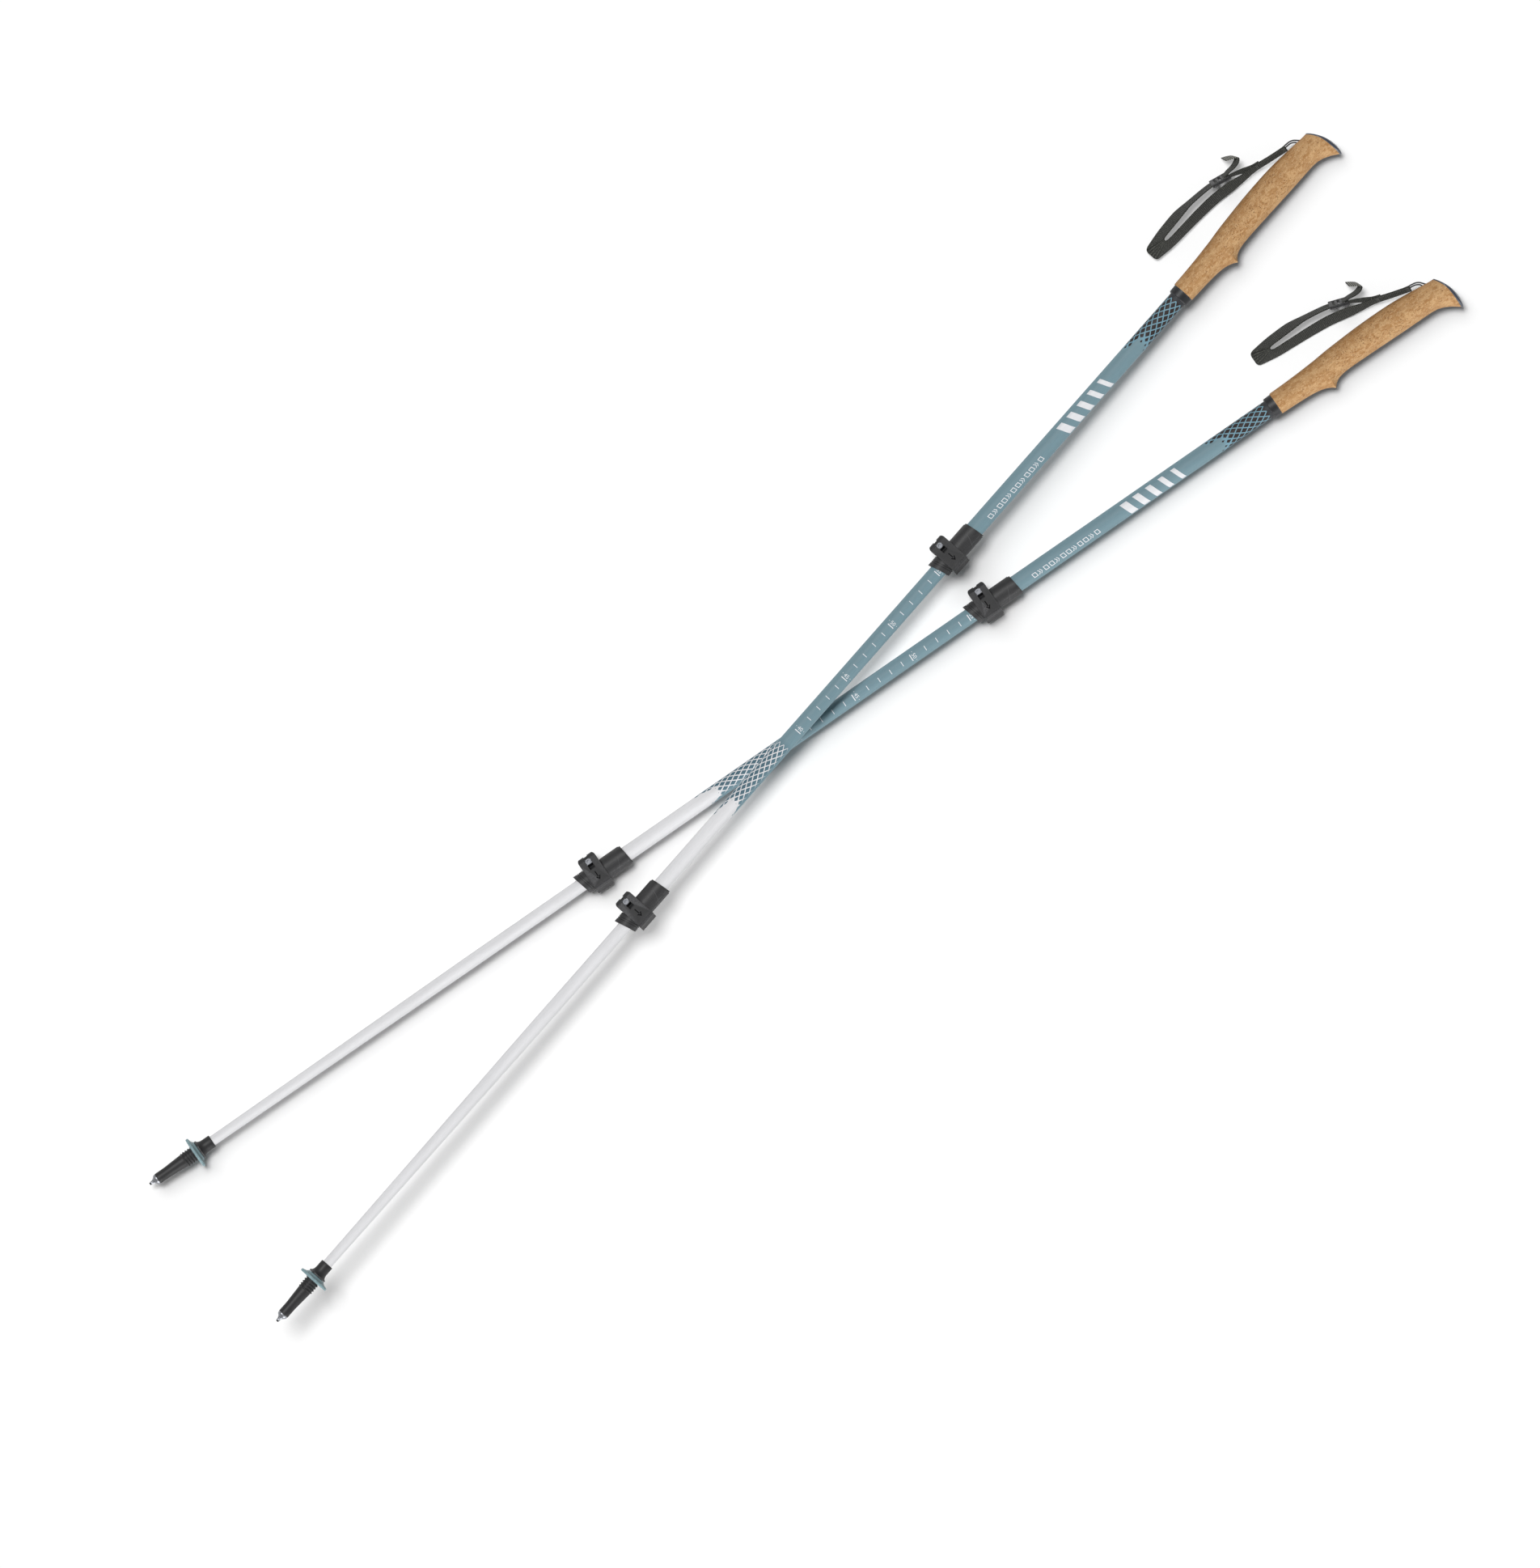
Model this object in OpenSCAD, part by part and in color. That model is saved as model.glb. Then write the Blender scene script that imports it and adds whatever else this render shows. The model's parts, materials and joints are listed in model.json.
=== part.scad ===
// A pair of three-section trekking poles, lying crossed on the ground.
// Pole frame: X runs from the point to the top of the grip, +Y is the strap side,
// +Z is the side the lock levers face.
// Row frame: origin on the ground in the middle of the pair's footprint, +X from the points
// to the grips, +Z up.

/* [Layout] */
// Angle between the two poles
cross_angle = 13.9; // [10:0.1:20]
// Distance from the point to the crossing, on the right pole
cross_at = 686; // [660:1:700]
// Distance from the point to the crossing, on the left pole
left_cross_at = 681.5; // [660:0.5:700]
// Height of the right pole's axis above the ground
axis_height = 14.5; // [14.5:0.1:18]
// Height of the left pole's axis above the right pole's axis at the crossing
stack_height = 21.8; // [21.7:0.1:26]
// Slope of the left pole, down towards its grip
left_slope = 1.87; // [1.7:0.01:1.88]

// Place of the crossing, from the middle of the pair's footprint towards the grips
cross_x = -17.6; // [-20:0.1:-10]
// Place of the crossing, from the middle of the pair's footprint sideways
cross_y = -9.7; // [-15:0.1:-5]

/* [Sections] */
// Distance from the point to the lower end of the lower lock
lower_lock_at = 463; // [450:1:470]
// Distance from the point to the lower end of the upper lock
upper_lock_at = 883; // [875:1:890]
// Distance from the point to the lower end of the cork grip
grip_at = 1214; // [1205:1:1225]
// Outside diameter of the upper tube
upper_tube_d = 16; // [15.8:0.1:16]
// Outside diameter of the middle tube
middle_tube_d = 14; // [13.8:0.1:14]
// Outside diameter of the lower tube where it is parallel
lower_tube_d = 12; // [11.8:0.1:12]
// Outside diameter of the lower tube at its thin end
lower_tube_end_d = 9; // [8.8:0.1:9]
// Wall of each tube
tube_wall = 0.9; // [0.7:0.05:0.9]

/* [Locks] */
// Outside diameter of a lock's sleeve
lock_d = 20; // [20:0.1:21]
// Length of a lock's sleeve
lock_len = 52; // [50:0.5:54]
// Slant of the sleeve's lower end
lock_slant = 14; // [8:1:16]
// Slant of the sleeve's upper end
upper_slant = 7; // [0:1:8]
// Width of a lever along the pole
lever_w = 17.2; // [16.8:0.1:17.6]
// Sideways distance from the pole's axis to a lever's pivot
pivot_y = 13.8; // [13.8:0.1:14.2]
// Height of a lever's pivot over the pole's axis
pivot_z = 6.5; // [6.5:0.05:6.6]
// Radius of a lever's round cam
cam_r = 5.65; // [5.6:0.01:5.65]
// Offset of the cam's centre from the pivot
cam_offset = 0.3; // [0.2:0.05:0.3]

/* [Tip] */
// Diameter of the ferrule's straight nose, which a tip protector grips
nose_d = 9.9; // [9.8:0.05:10]
// Outside diameter of the basket
basket_d = 29; // [27:0.5:29]
// Pitch of the ferrule's thread
thread_pitch = 2.6; // [2.4:0.1:2.8]

/* [Grip] */
// Half-width of the grip at its widest
grip_half_w = 14.3; // [13.8:0.1:14.3]
// Thickness of the cap on top of the grip
cap_t = 1.3; // [1.1:0.1:1.5]
// How far the finger lip stands out
lip_h = 7.9; // [6:0.1:9]

/* [Hidden] */
slide_gap = 0.05;
glue_gap = 0.03;
lower_r = lower_tube_d / 2;
middle_r = middle_tube_d / 2;
upper_r = upper_tube_d / 2;
thin_r = lower_tube_end_d / 2;
$fn = 48;

// Where each tube starts and ends along the pole
lower_tube_from = 30;
taper_from = 75;
taper_to = 345;
lower_tube_to = lower_lock_at + 95;
middle_tube_to = upper_lock_at + 100;
socket_at = 29.5;
middle_tube_from = lower_lock_at + socket_at + 0.2;
upper_tube_from = upper_lock_at + socket_at + 0.2;
upper_tube_to = grip_at + 146;

// Lock details, measured from the lock's own lower end
lever_at = 10.6;
lever_mid = lever_at + lever_w / 2;
recess_r = lock_d / 2 - 0.7;
lip_len = 1.6;
lip_step = 0.6;
plate_top = 12.2;
arm_inner_r = recess_r + 0.35;
ear_top = pivot_z - cam_offset - cam_r - 0.05;
ear_bottom = -9.4;
slit_top = -2.6;
slit_bottom = -3.6;
barrel_r = 2.8;
barrel_flat = 2.2;
screw_r = 1.5;
head_r = 2.45;
head_h = 2.3;
head_at = pivot_z + barrel_flat + 0.02;
nut_af = 5.4;
nut_from = -9.2;
nut_to = -6.95;

// Strap anchor, in the grip's own measure from the cork's lower end
pin_s = 169.5;
pin_f = -8.5;
pin_r = 1.25;
slot_r = 6.4;
slot_half = 1.9;
core_r = upper_r + 0.9;
cord_r = 0.75;
leg_gap = 0.25;

PARTS = [
  "cork_grip", "grip_core", "grip_cap", "grip_collar", "strap_pin", "strap_cord", "strap_band",
  "strap_adjuster", "strap_buckle", "upper_tube", "middle_tube", "lower_tube", "middle_guide",
  "lower_guide", "upper_lock_body", "upper_lock_lever", "upper_lock_barrel", "upper_lock_screw",
  "upper_lock_nut", "lower_lock_body", "lower_lock_lever", "lower_lock_barrel",
  "lower_lock_screw", "lower_lock_nut", "tip_ferrule", "basket", "steel_tip", "carbide_point"
];

// ---------- placing ----------

module place_left() {
  translate([cross_x, cross_y, axis_height + stack_height])
    rotate([0, 0, cross_angle / 2])
      rotate([0, left_slope, 0])
        translate([-left_cross_at, 0, 0])
          children();
}

module place_right() {
  translate([cross_x, cross_y, axis_height])
    rotate([0, 0, -cross_angle / 2])
      translate([-cross_at, 0, 0])
        children();
}

// Turns a shape built along Z so that it runs along the pole from a distance s
module along(s = 0) {
  translate([s, 0, 0])
    rotate([0, 90, 0])
      children();
}

// A solid of revolution about the pole's axis, from points [radius, distance]
module turned(points) {
  along()
    rotate_extrude($fn = 64)
      polygon(points);
}

// Extrudes an outline given in [Y, Z] along the pole
module across(s, length) {
  translate([s, 0, 0])
    rotate([90, 0, 90])
      linear_extrude(length)
        children();
}

// ---------- shared curves ----------

function arc(centre, r, from, to, steps = 12) =
  [for (i = [0:steps]) centre + r * [cos(from + (to - from) * i / steps),
                                     sin(from + (to - from) * i / steps)]];

// A value read off a smooth curve through keys [position, value]
function cubic(p0, p1, p2, p3, t) =
  0.5 * (2 * p1 + (p2 - p0) * t + (2 * p0 - 5 * p1 + 4 * p2 - p3) * t * t
         + (3 * p1 - p0 - 3 * p2 + p3) * t * t * t);

function key_index(keys, x, i = 0) =
  i >= len(keys) - 2 || x < keys[i + 1][0] ? i : key_index(keys, x, i + 1);

function key_value(keys, i) = keys[max(0, min(len(keys) - 1, i))][1];

function curve(keys, x) =
  let (i = key_index(keys, x),
       t = (x - keys[i][0]) / (keys[i + 1][0] - keys[i][0]))
  cubic(key_value(keys, i - 1), key_value(keys, i), key_value(keys, i + 1),
        key_value(keys, i + 2), max(0, min(1, t)));

// A list of stations made finer, each gap split into steps
function refine(keys, steps) =
  let (last = len(keys) - 1)
  concat(
    [for (i = [0:last - 1]) for (k = [0:steps - 1])
      cubic(keys[max(0, i - 1)], keys[i], keys[i + 1], keys[min(last, i + 2)], k / steps)],
    [keys[last]]);

// A closed skin over a list of rings that have the same number of points
module skin(rings) {
  n = len(rings[0]);
  m = len(rings);
  function sum(v, i = 0) = i < len(v) ? v[i] + sum(v, i + 1) : 0;
  function centre(ring) = [for (axis = [0:2]) sum([for (p = ring) p[axis]]) / n];
  points = concat([for (ring = rings) for (p = ring) p],
                  [centre(rings[0]), centre(rings[m - 1])]);
  sides = [for (j = [0:m - 2]) for (i = [0:n - 1]) let (k = (i + 1) % n)
    each [[j * n + i, (j + 1) * n + i, j * n + k],
          [j * n + k, (j + 1) * n + i, (j + 1) * n + k]]];
  start = [for (i = [0:n - 1]) [m * n, i, (i + 1) % n]];
  end = [for (i = [0:n - 1]) [m * n + 1, (m - 1) * n + (i + 1) % n, (m - 1) * n + i]];
  polyhedron(points, concat(sides, start, end), convexity = 8);
}

// ---------- grip ----------

// Distances of the cork's back and front from the tube's axis, up the grip
BACK = [[0, -10.7], [27, -11.3], [49, -12.5], [63, -13.8], [81, -14.8], [98, -15.5],
        [117, -15.7], [135, -15.3], [153, -13.8], [171, -12.0], [190, -10.6]];
FRONT = [[0, 10.2], [27, 10.6], [60, 10.9], [90, 11.2], [130, 11.8], [160, 12], [190, 12.4]];
HALF_WIDTH = [[0, 0.73], [30, 0.79], [60, 0.88], [90, 0.965], [117, 1], [140, 0.99],
              [165, 0.94], [190, 0.86]];
lip_at = 52.1;
beak_from = 160;
cork_sides = 36;

function lip(s) = lip_h * exp(s < lip_at ? (s - lip_at) / 9 : (lip_at - s) / 5.5);
function beak(s) = s < beak_from ? 0 : 0.0185 * pow(s - beak_from, 2);

// A point of the grip's side wall, at a distance s up the grip and an angle from the front
function wall(s, a) =
  let (back = curve(BACK, s), front = curve(FRONT, s), half = grip_half_w * curve(HALF_WIDTH, s),
       ahead = max(0, cos(a)))
  [s,
   -((front + back) / 2 + (front - back) / 2 * cos(a) + lip(s) * pow(ahead, 3)
     + beak(s) * pow(ahead, 1.6)),
   half * sin(a)];

// Height of the edge where the side wall turns over into the top, and of the top itself
rim_mid = 184;
rim_lean = 3.45;
rim_droop = 2.4;
crown_top = 187.6;
crown_at = 15;
crown_bend = 0.0128;
crown_mid = 5;

function rim(a) = rim_mid + rim_lean * cos(a) - rim_droop * pow(cos(a), 2);
function crown(f) = crown_top - crown_bend * pow(f - crown_at, 2);

// A point of the domed top: q is 1 at the rim and 0 in the middle, drop lowers the surface
function dome(q, a, drop) =
  let (edge = wall(rim(a) - drop, a),
       f = crown_mid + q * (-edge[1] - crown_mid),
       rise = crown(f) - rim(a))
  [rim(a) - drop + rise * sqrt(1 - pow(q, 6)), -f, q * edge[2]];

function ring_angles() = [for (i = [0:cork_sides - 1]) 360 * i / cork_sides];

WALL_STATIONS = concat([for (s = [0:5:40]) s], [44, 47, 49, 50.7, 51.7, 52.4, 53.4, 55, 57, 60, 64],
                       [for (s = [70:6:154]) s]);
DOME_STEPS = [0.995, 0.96, 0.9, 0.8, 0.62, 0.4, 0.15];

function wall_rings(drop) = concat(
  [for (s = WALL_STATIONS) [for (a = ring_angles()) wall(s, a)]],
  [for (t = [0.25, 0.5, 0.75, 1]) [for (a = ring_angles())
    wall(154 + t * (rim(a) - drop - 154), a)]]);

function dome_rings(drop, steps) =
  [for (q = steps) [for (a = ring_angles()) dome(q, a, drop)]];

function reversed(v) = [for (i = [len(v) - 1:-1:0]) v[i]];

// The head of the core, which holds the strap's pin
head_from = 152;
head_len = 22;
head_w = 9;
head_back = 10.4;

module core_head(grow) {
  translate([head_from, -core_r + 1, -head_w / 2 - grow])
    cube([head_len + grow, core_r - 1 + head_back + grow, head_w + 2 * grow]);
}

module cord_slot() {
  translate([pin_s, -pin_f, -slot_half])
    cylinder(r = slot_r, h = 2 * slot_half);
}

module cork_grip() {
  color("burlywood")
    translate([grip_at, 0, 0])
      difference() {
        skin(concat(wall_rings(cap_t + slide_gap), dome_rings(cap_t + slide_gap, DOME_STEPS)));
        along(-1)
          cylinder(r = core_r + glue_gap, h = 173 + glue_gap);
        core_head(glue_gap);
        cord_slot();
      }
}

module grip_cap() {
  color("slategray")
    translate([grip_at, 0, 0])
      skin(concat(
        reversed(dome_rings(cap_t, DOME_STEPS)),
        [for (t = [1, 0.5, 0]) [for (a = ring_angles()) wall(rim(a) - t * cap_t, a)]],
        dome_rings(0, DOME_STEPS)));
}

module grip_core() {
  color("dimgray")
    translate([grip_at, 0, 0])
      difference() {
        union() {
          along(0.1)
            cylinder(r = core_r, h = 171.9);
          core_head(0);
        }
        along(-1)
          cylinder(r = upper_r + glue_gap, h = 147.2);
        cord_slot();
        translate([pin_s, -pin_f, -8])
          cylinder(r = pin_r + glue_gap, h = 16);
      }
}

module grip_collar() {
  color("#2b2b2b")
    turned([[upper_r + glue_gap, grip_at - 7.6], [9.1, grip_at - 7.6], [9.7, grip_at - 6.8],
            [9.9, grip_at - 1], [9.9, grip_at - 0.1], [upper_r + glue_gap, grip_at - 0.1]]);
}

// ---------- strap ----------

module strap_pin() {
  color("silver")
    translate([grip_at + pin_s, -pin_f, -4.4])
      cylinder(r = pin_r, h = 8.8);
}

// The cord's centre line, in the plane of the loop: once round the pin, with two legs
// that run side by side to the sewn end of the webbing
cord_turn_r = pin_r + 0.1 + cord_r;
cord_exit = 240;
CORD_LEG = [[6, 240], [8.6, 236], [11.5, 228], [14.6, 219]];

function cord_point(r, a) = [pin_s + r * cos(a), -(pin_f + r * sin(a)), 0];
function cord_side(r, a, side) =
  cord_point(r, a) + side * (cord_r + leg_gap) * [-sin(a), -cos(a), 0];

CORD_PATH = concat(
  [for (p = reversed(CORD_LEG)) cord_side(p[0], p[1], -1)],
  [for (a = [cord_exit - 62:-20:cord_exit - 302]) cord_point(cord_turn_r, a)],
  [for (p = CORD_LEG) cord_side(p[0], p[1], 1)]);

module cord(path, r, sides = 10) {
  last = len(path) - 1;
  skin([for (i = [0:last])
    let (d = path[min(last, i + 1)] - path[max(0, i - 1)],
         t = d / norm(d),
         n = [-t[1], t[0], 0])
    [for (k = [0:sides - 1]) path[i] + r * (n * cos(360 * k / sides)
                                           + [0, 0, 1] * sin(360 * k / sides))]]);
}

module strap_cord() {
  color("#1d1d1d")
    translate([grip_at, 0, 0])
      cord(CORD_PATH, cord_r);
}

// A ribbon of webbing. Each station is the low edge and the high edge as
// [distance, offset, height] of each; the offset is towards the strap side.
module ribbon(stations, thickness) {
  last = len(stations) - 1;
  function low(i) = [stations[i][0], stations[i][1], stations[i][2]];
  function high(i) = [stations[i][3], stations[i][4], stations[i][5]];
  function middle(i) = low(i) + high(i);
  function outward(i) =
    let (d = middle(min(last, i + 1)) - middle(max(0, i - 1)), n = cross(high(i) - low(i), d))
    thickness * n / norm(n);
  skin([for (i = [0:last]) [low(i), high(i), high(i) + outward(i), low(i) + outward(i)]]);
}

BAND = [
  [156.6, 14.4, -7.2, 156.6, 19.0, 6.8], [140, 19.0, -8.2, 140, 23.7, 6.2],
  [124, 23.6, -9.5, 124, 28.6, 5.5], [112, 25.2, -11.5, 112, 30.9, 5], [99, 27, -13, 99, 35.1, 5],
  [81, 30.1, -13.6, 81, 38.7, 4.5], [63, 31.9, -13.8, 63, 40.2, 4.2], [45, 33.1, -13.8, 45, 40.8, 4],
  [27, 34.2, -13.8, 29, 41.3, 3.5], [12.5, 36.0, -13.8, 25.5, 41.8, 3], [7.4, 39.4, -13.8, 24.3, 42.3, 3],
  [6.6, 43.2, -13.8, 24, 42.9, 3], [7.8, 47.2, -13.8, 24.3, 43.5, 3], [13, 50.2, -13.8, 25.5, 43.9, 3],
  [27, 51.9, -13.8, 29, 44.2, 3.5], [45, 52.6, -13.8, 45, 44.8, 4], [54, 51.8, -13.2, 54, 45.2, 4.5],
  [63, 50.2, -10.5, 63, 45.4, 5], [76, 48.2, -8.5, 76, 43.9, 6], [86.6, 46.4, -8, 86.6, 42.2, 6.5]
];
SHORT_STRAND = [[123, 27.6, -8.2, 123, 31.6, 5.4], [117, 30.1, -8, 117, 34.4, 6], [106.6, 34.6, -8, 106.6, 39, 6.5]];
TAIL = [[106.8, 42.8, -8, 106.8, 39.6, 6.5], [113, 42.4, -8.2, 113, 38.4, 6.2],
        [118, 43.2, -8.6, 118.4, 38.8, 5.8], [121, 45.4, -9, 122, 41.4, 5.4],
        [120, 48.2, -9.4, 121, 44.6, 5], [115, 51.4, -9.8, 115.5, 47.6, 4.6]];

module strap_band() {
  color("#3c3c38")
    translate([grip_at, 0, 0])
      ribbon(refine(BAND, 3), 1.3);
}

module strap_adjuster() {
  color("#3c3c38")
    translate([grip_at, 0, 0]) {
      ribbon(refine(SHORT_STRAND, 3), 1.1);
      ribbon(refine(TAIL, 3), 1.1);
    }
}

buckle_len = 18;
buckle_w = 19;
module strap_buckle() {
  color("#222222")
    translate([grip_at + 96.5, 41.6, -1])
      rotate([0, 0, -19])
        rotate([106, 0, 0])
          difference() {
            translate([-buckle_len / 2, -buckle_w / 2, -1.6])
              cube([buckle_len, buckle_w, 3.2]);
            for (x = [-5.6, -1.1, 3.4])
              translate([x, -7.8, -3])
                cube([2.2, 15.6, 6]);
          }
}

// ---------- tubes ----------

module tube(r, from, to) {
  turned([[r - tube_wall, from], [r, from], [r, to], [r - tube_wall, to]]);
}

module upper_tube() {
  color("cadetblue") tube(upper_r, upper_tube_from, upper_tube_to);
}

module middle_tube() {
  color("cadetblue") tube(middle_r, middle_tube_from, middle_tube_to);
}

module lower_tube() {
  color("whitesmoke")
    turned([[thin_r - tube_wall, lower_tube_from], [thin_r, lower_tube_from], [thin_r, taper_from],
            [lower_r, taper_to], [lower_r, lower_tube_to], [lower_r - tube_wall, lower_tube_to],
            [lower_r - tube_wall, taper_to], [thin_r - tube_wall, taper_from]]);
}

// A plug in the top of an inner tube, whose collar runs in the bore of the tube above
module guide(r, outer_bore_r, at) {
  plug_r = r - tube_wall - glue_gap;
  turned([[plug_r - 1.2, at - 12], [plug_r, at - 12], [plug_r, at + 0.1],
          [outer_bore_r - slide_gap, at + 0.1], [outer_bore_r - slide_gap, at + 4.6],
          [plug_r, at + 5.2], [plug_r - 1.2, at + 5.2]]);
}

module middle_guide() {
  color("#303030") guide(middle_r, upper_r - tube_wall, middle_tube_to);
}

module lower_guide() {
  color("#303030") guide(lower_r, middle_r - tube_wall, lower_tube_to);
}

// ---------- locks ----------

// Keeps what lies above a plane that leans back from the strap side
module slanted_end(s, slant) {
  translate([s, 0, 0])
    rotate([0, 0, slant])
      translate([-40, -40, -40])
        cube([40, 80, 80]);
}

module groove(s) {
  translate([s, 0, 0])
    rotate([0, 0, lock_slant])
      along()
        difference() {
          cylinder(r = lock_d, h = 0.6);
          translate([0, 0, -1])
            cylinder(r = lock_d / 2 - 0.3, h = 3);
        }
}

// The sleeve's outside: one radius up to the lip, and a smaller one to the slanted upper end
module sleeve_stage(r, short) {
  for (step = [[r, short], [r - lip_step, 0]])
    difference() {
      along()
        cylinder(r = step[0], h = lock_len);
      translate([lock_len - step[1] - r * tan(upper_slant), 0, 0])
        rotate([0, 0, upper_slant])
          translate([0, -40, -40])
            cube([40, 80, 80]);
    }
}

module sleeve() {
  difference() {
    sleeve_stage(lock_d / 2, lip_len);
    slanted_end(lock_d / 2 * tan(lock_slant), lock_slant);
    groove(6.2);
    groove(8);
    along(lever_at - 0.3)
      difference() {
        cylinder(r = lock_d, h = lever_w + 0.6);
        translate([0, 0, -1])
          cylinder(r = recess_r, h = lever_w + 3);
      }
  }
}

module ears() {
  ear_w = lever_w - 1.4;
  translate([lever_mid, 0, ear_bottom])
    linear_extrude(ear_top - ear_bottom) {
      translate([-ear_w / 2, 6])
        square([ear_w, pivot_y - 4]);
      for (side = [-1, 1])
        translate([side * (ear_w / 2 - 2), pivot_y + 2])
          circle(r = 2);
      translate([-ear_w / 2 + 2, pivot_y - 1])
        square([ear_w - 4, 5]);
    }
}

module lock_body(at, outer_r, inner_r) {
  color("#3a3a3a")
    translate([at, 0, 0])
      difference() {
        union() {
          sleeve();
          ears();
        }
        along(-5)
          cylinder(r = inner_r + slide_gap, h = lock_len + 10);
        along(socket_at)
          cylinder(r = outer_r + glue_gap, h = lock_len);
        translate([-5, 4, slit_bottom])
          cube([socket_at + 6, 20, slit_top - slit_bottom]);
        along(lever_at - 0.3)
          translate([-pivot_z, pivot_y, 0])
            cylinder(r = cam_r + cam_offset + 0.1, h = lever_w + 0.6);
        translate([lever_mid, pivot_y, ear_bottom - 1])
          cylinder(r = screw_r + 0.25, h = 20);
        translate([lever_mid, pivot_y, ear_bottom - 1])
          cylinder(d = (nut_af + 0.1) / cos(30), h = nut_to + 0.05 - ear_bottom + 1, $fn = 6);
      }
}

// The lever's outline across the pole, as [Y, Z]
module lever_outline() {
  translate([pivot_y, pivot_z - cam_offset])
    circle(r = cam_r);
  polygon(concat(
    [[pivot_y, pivot_z], [pivot_y + 3.2, plate_top - 1.2], [pivot_y + 2, plate_top]],
    arc([-8.3, plate_top - 3.5], 3.5, 90, 180, 6),
    [[-11.8, 2], [-14.9, -5], [-14.7, -6.1], [-13.6, -6.4], [-10.4, 0]],
    arc([0, 0], arm_inner_r, 172, 90, 12),
    [[6, arm_inner_r], [pivot_y - 4, pivot_z + 1]]));
}

// The lever seen from its face, with its two corners at the pivot end well rounded
module lever_plan() {
  corner = 4.5;
  back = pivot_y + cam_r + 1;
  translate([0, -20])
    square([lever_w, back + 20 - corner]);
  translate([corner, back - corner - 1])
    square([lever_w - 2 * corner, corner + 1]);
  for (x = [corner, lever_w - corner])
    translate([x, back - corner])
      circle(r = corner);
}

// An engraved arrow that points to the finger end
module arrow() {
  translate([lever_w / 2, 0, plate_top - 0.35])
    linear_extrude(2) {
      translate([-0.45, -2])
        square([0.9, 5.5]);
      polygon([[-2.4, -1.6], [0, -5.2], [2.4, -1.6], [1.2, -1.6], [0, -3.4], [-1.2, -1.6]]);
    }
}

module lever(at) {
  slot_w = 2 * head_r + 0.5;
  color("#333333")
    translate([at + lever_at, 0, 0])
      difference() {
        intersection() {
          across(0, lever_w)
            lever_outline();
          translate([0, 0, -20])
            linear_extrude(60)
              lever_plan();
        }
        along(-1)
          translate([-pivot_z, pivot_y, 0])
            cylinder(r = barrel_r + slide_gap, h = lever_w + 2);
        along((lever_w - slot_w) / 2)
          translate([-pivot_z, pivot_y, 0])
            cylinder(r = head_r + 2.8, h = slot_w);
        translate([(lever_w - slot_w) / 2, 6.2, pivot_z])
          cube([slot_w, 10.1, 20]);
        across(lever_w / 2 - 1.8, 3.6)
          translate([pivot_y, pivot_z])
            polygon(concat([[0, 0]], arc([0, 0], 12, -112, 28, 8)));
        arrow();
      }
}

module barrel(at) {
  color("silver")
    difference() {
      along(at + lever_at + 0.5)
        translate([-pivot_z, pivot_y, 0])
          cylinder(r = barrel_r, h = lever_w - 1);
      translate([at + lever_mid, pivot_y, 0])
        cylinder(r = screw_r + 0.1, h = 20);
      translate([at + lever_mid - head_r - 0.15, pivot_y - 5, pivot_z + barrel_flat])
        cube([2 * head_r + 0.3, 10, 5]);
    }
}

module screw(at) {
  color("silver")
    translate([at + lever_mid, pivot_y, 0])
      difference() {
        union() {
          translate([0, 0, head_at])
            cylinder(r = head_r, h = head_h);
          translate([0, 0, nut_from + 0.2])
            cylinder(r = screw_r, h = head_at + 0.1 - nut_from - 0.2);
        }
        translate([0, 0, head_at + head_h - 1.3])
          cylinder(r = 1.45, h = 2, $fn = 6);
      }
}

module nut(at) {
  color("silver")
    translate([at + lever_mid, pivot_y, nut_from])
      difference() {
        cylinder(d = nut_af / cos(30), h = nut_to - nut_from, $fn = 6);
        translate([0, 0, -1])
          cylinder(r = screw_r + glue_gap, h = 10);
      }
}

module upper_lock_body() { lock_body(upper_lock_at, upper_r, middle_r); }
module lower_lock_body() { lock_body(lower_lock_at, middle_r, lower_r); }

// ---------- tip ----------

thread_from = 37;
thread_root = 6.3;
thread_crest = 6.9;
flange_at = 53.3;
flange_r = 8.55;
sleeve_r = 5.95;
sleeve_end = 67.4;

module tip_ferrule() {
  ridges = [for (i = [0:5]) let (s = thread_from + i * thread_pitch)
    each [[thread_root, s], [thread_crest, s + 0.5], [thread_crest, s + 0.9], [thread_root, s + 1.5]]];
  fillet = [for (t = [0:15:90]) [flange_r - (flange_r - sleeve_r) * sin(t), 60 - 5.2 * cos(t)]];
  color("#333333")
    turned(concat(
      [[2.53, 8.4], [nose_d / 2, 8.4], [nose_d / 2, 18.6], [thread_root, 36]], ridges,
      [[thread_root, flange_at], [flange_r, flange_at]], fillet,
      [[sleeve_r, sleeve_end - 0.5], [sleeve_r - 0.5, sleeve_end], [thin_r + glue_gap, sleeve_end],
       [thin_r + glue_gap, lower_tube_from - 0.2], [2.53, lower_tube_from - 0.2]]));
}

module basket() {
  rim_r = basket_d / 2;
  color("cadetblue")
    difference() {
      turned([[thread_crest + slide_gap, 47.6], [rim_r - 3.4, 47.7], [rim_r - 1.2, 47.3],
              [rim_r - 0.3, 47.6], [rim_r, 48.4], [rim_r, 49.7], [rim_r - 0.4, 50.4],
              [rim_r - 1.2, 50.8], [10.6, 51.9], [8.8, 53.1], [thread_crest + slide_gap, 53.1]]);
      for (a = [0:30:330])
        rotate([a, 0, 0])
          along(40)
            translate([rim_r + 1.2, 0, 0])
              cylinder(r = 1.9, h = 20);
    }
}

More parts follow.
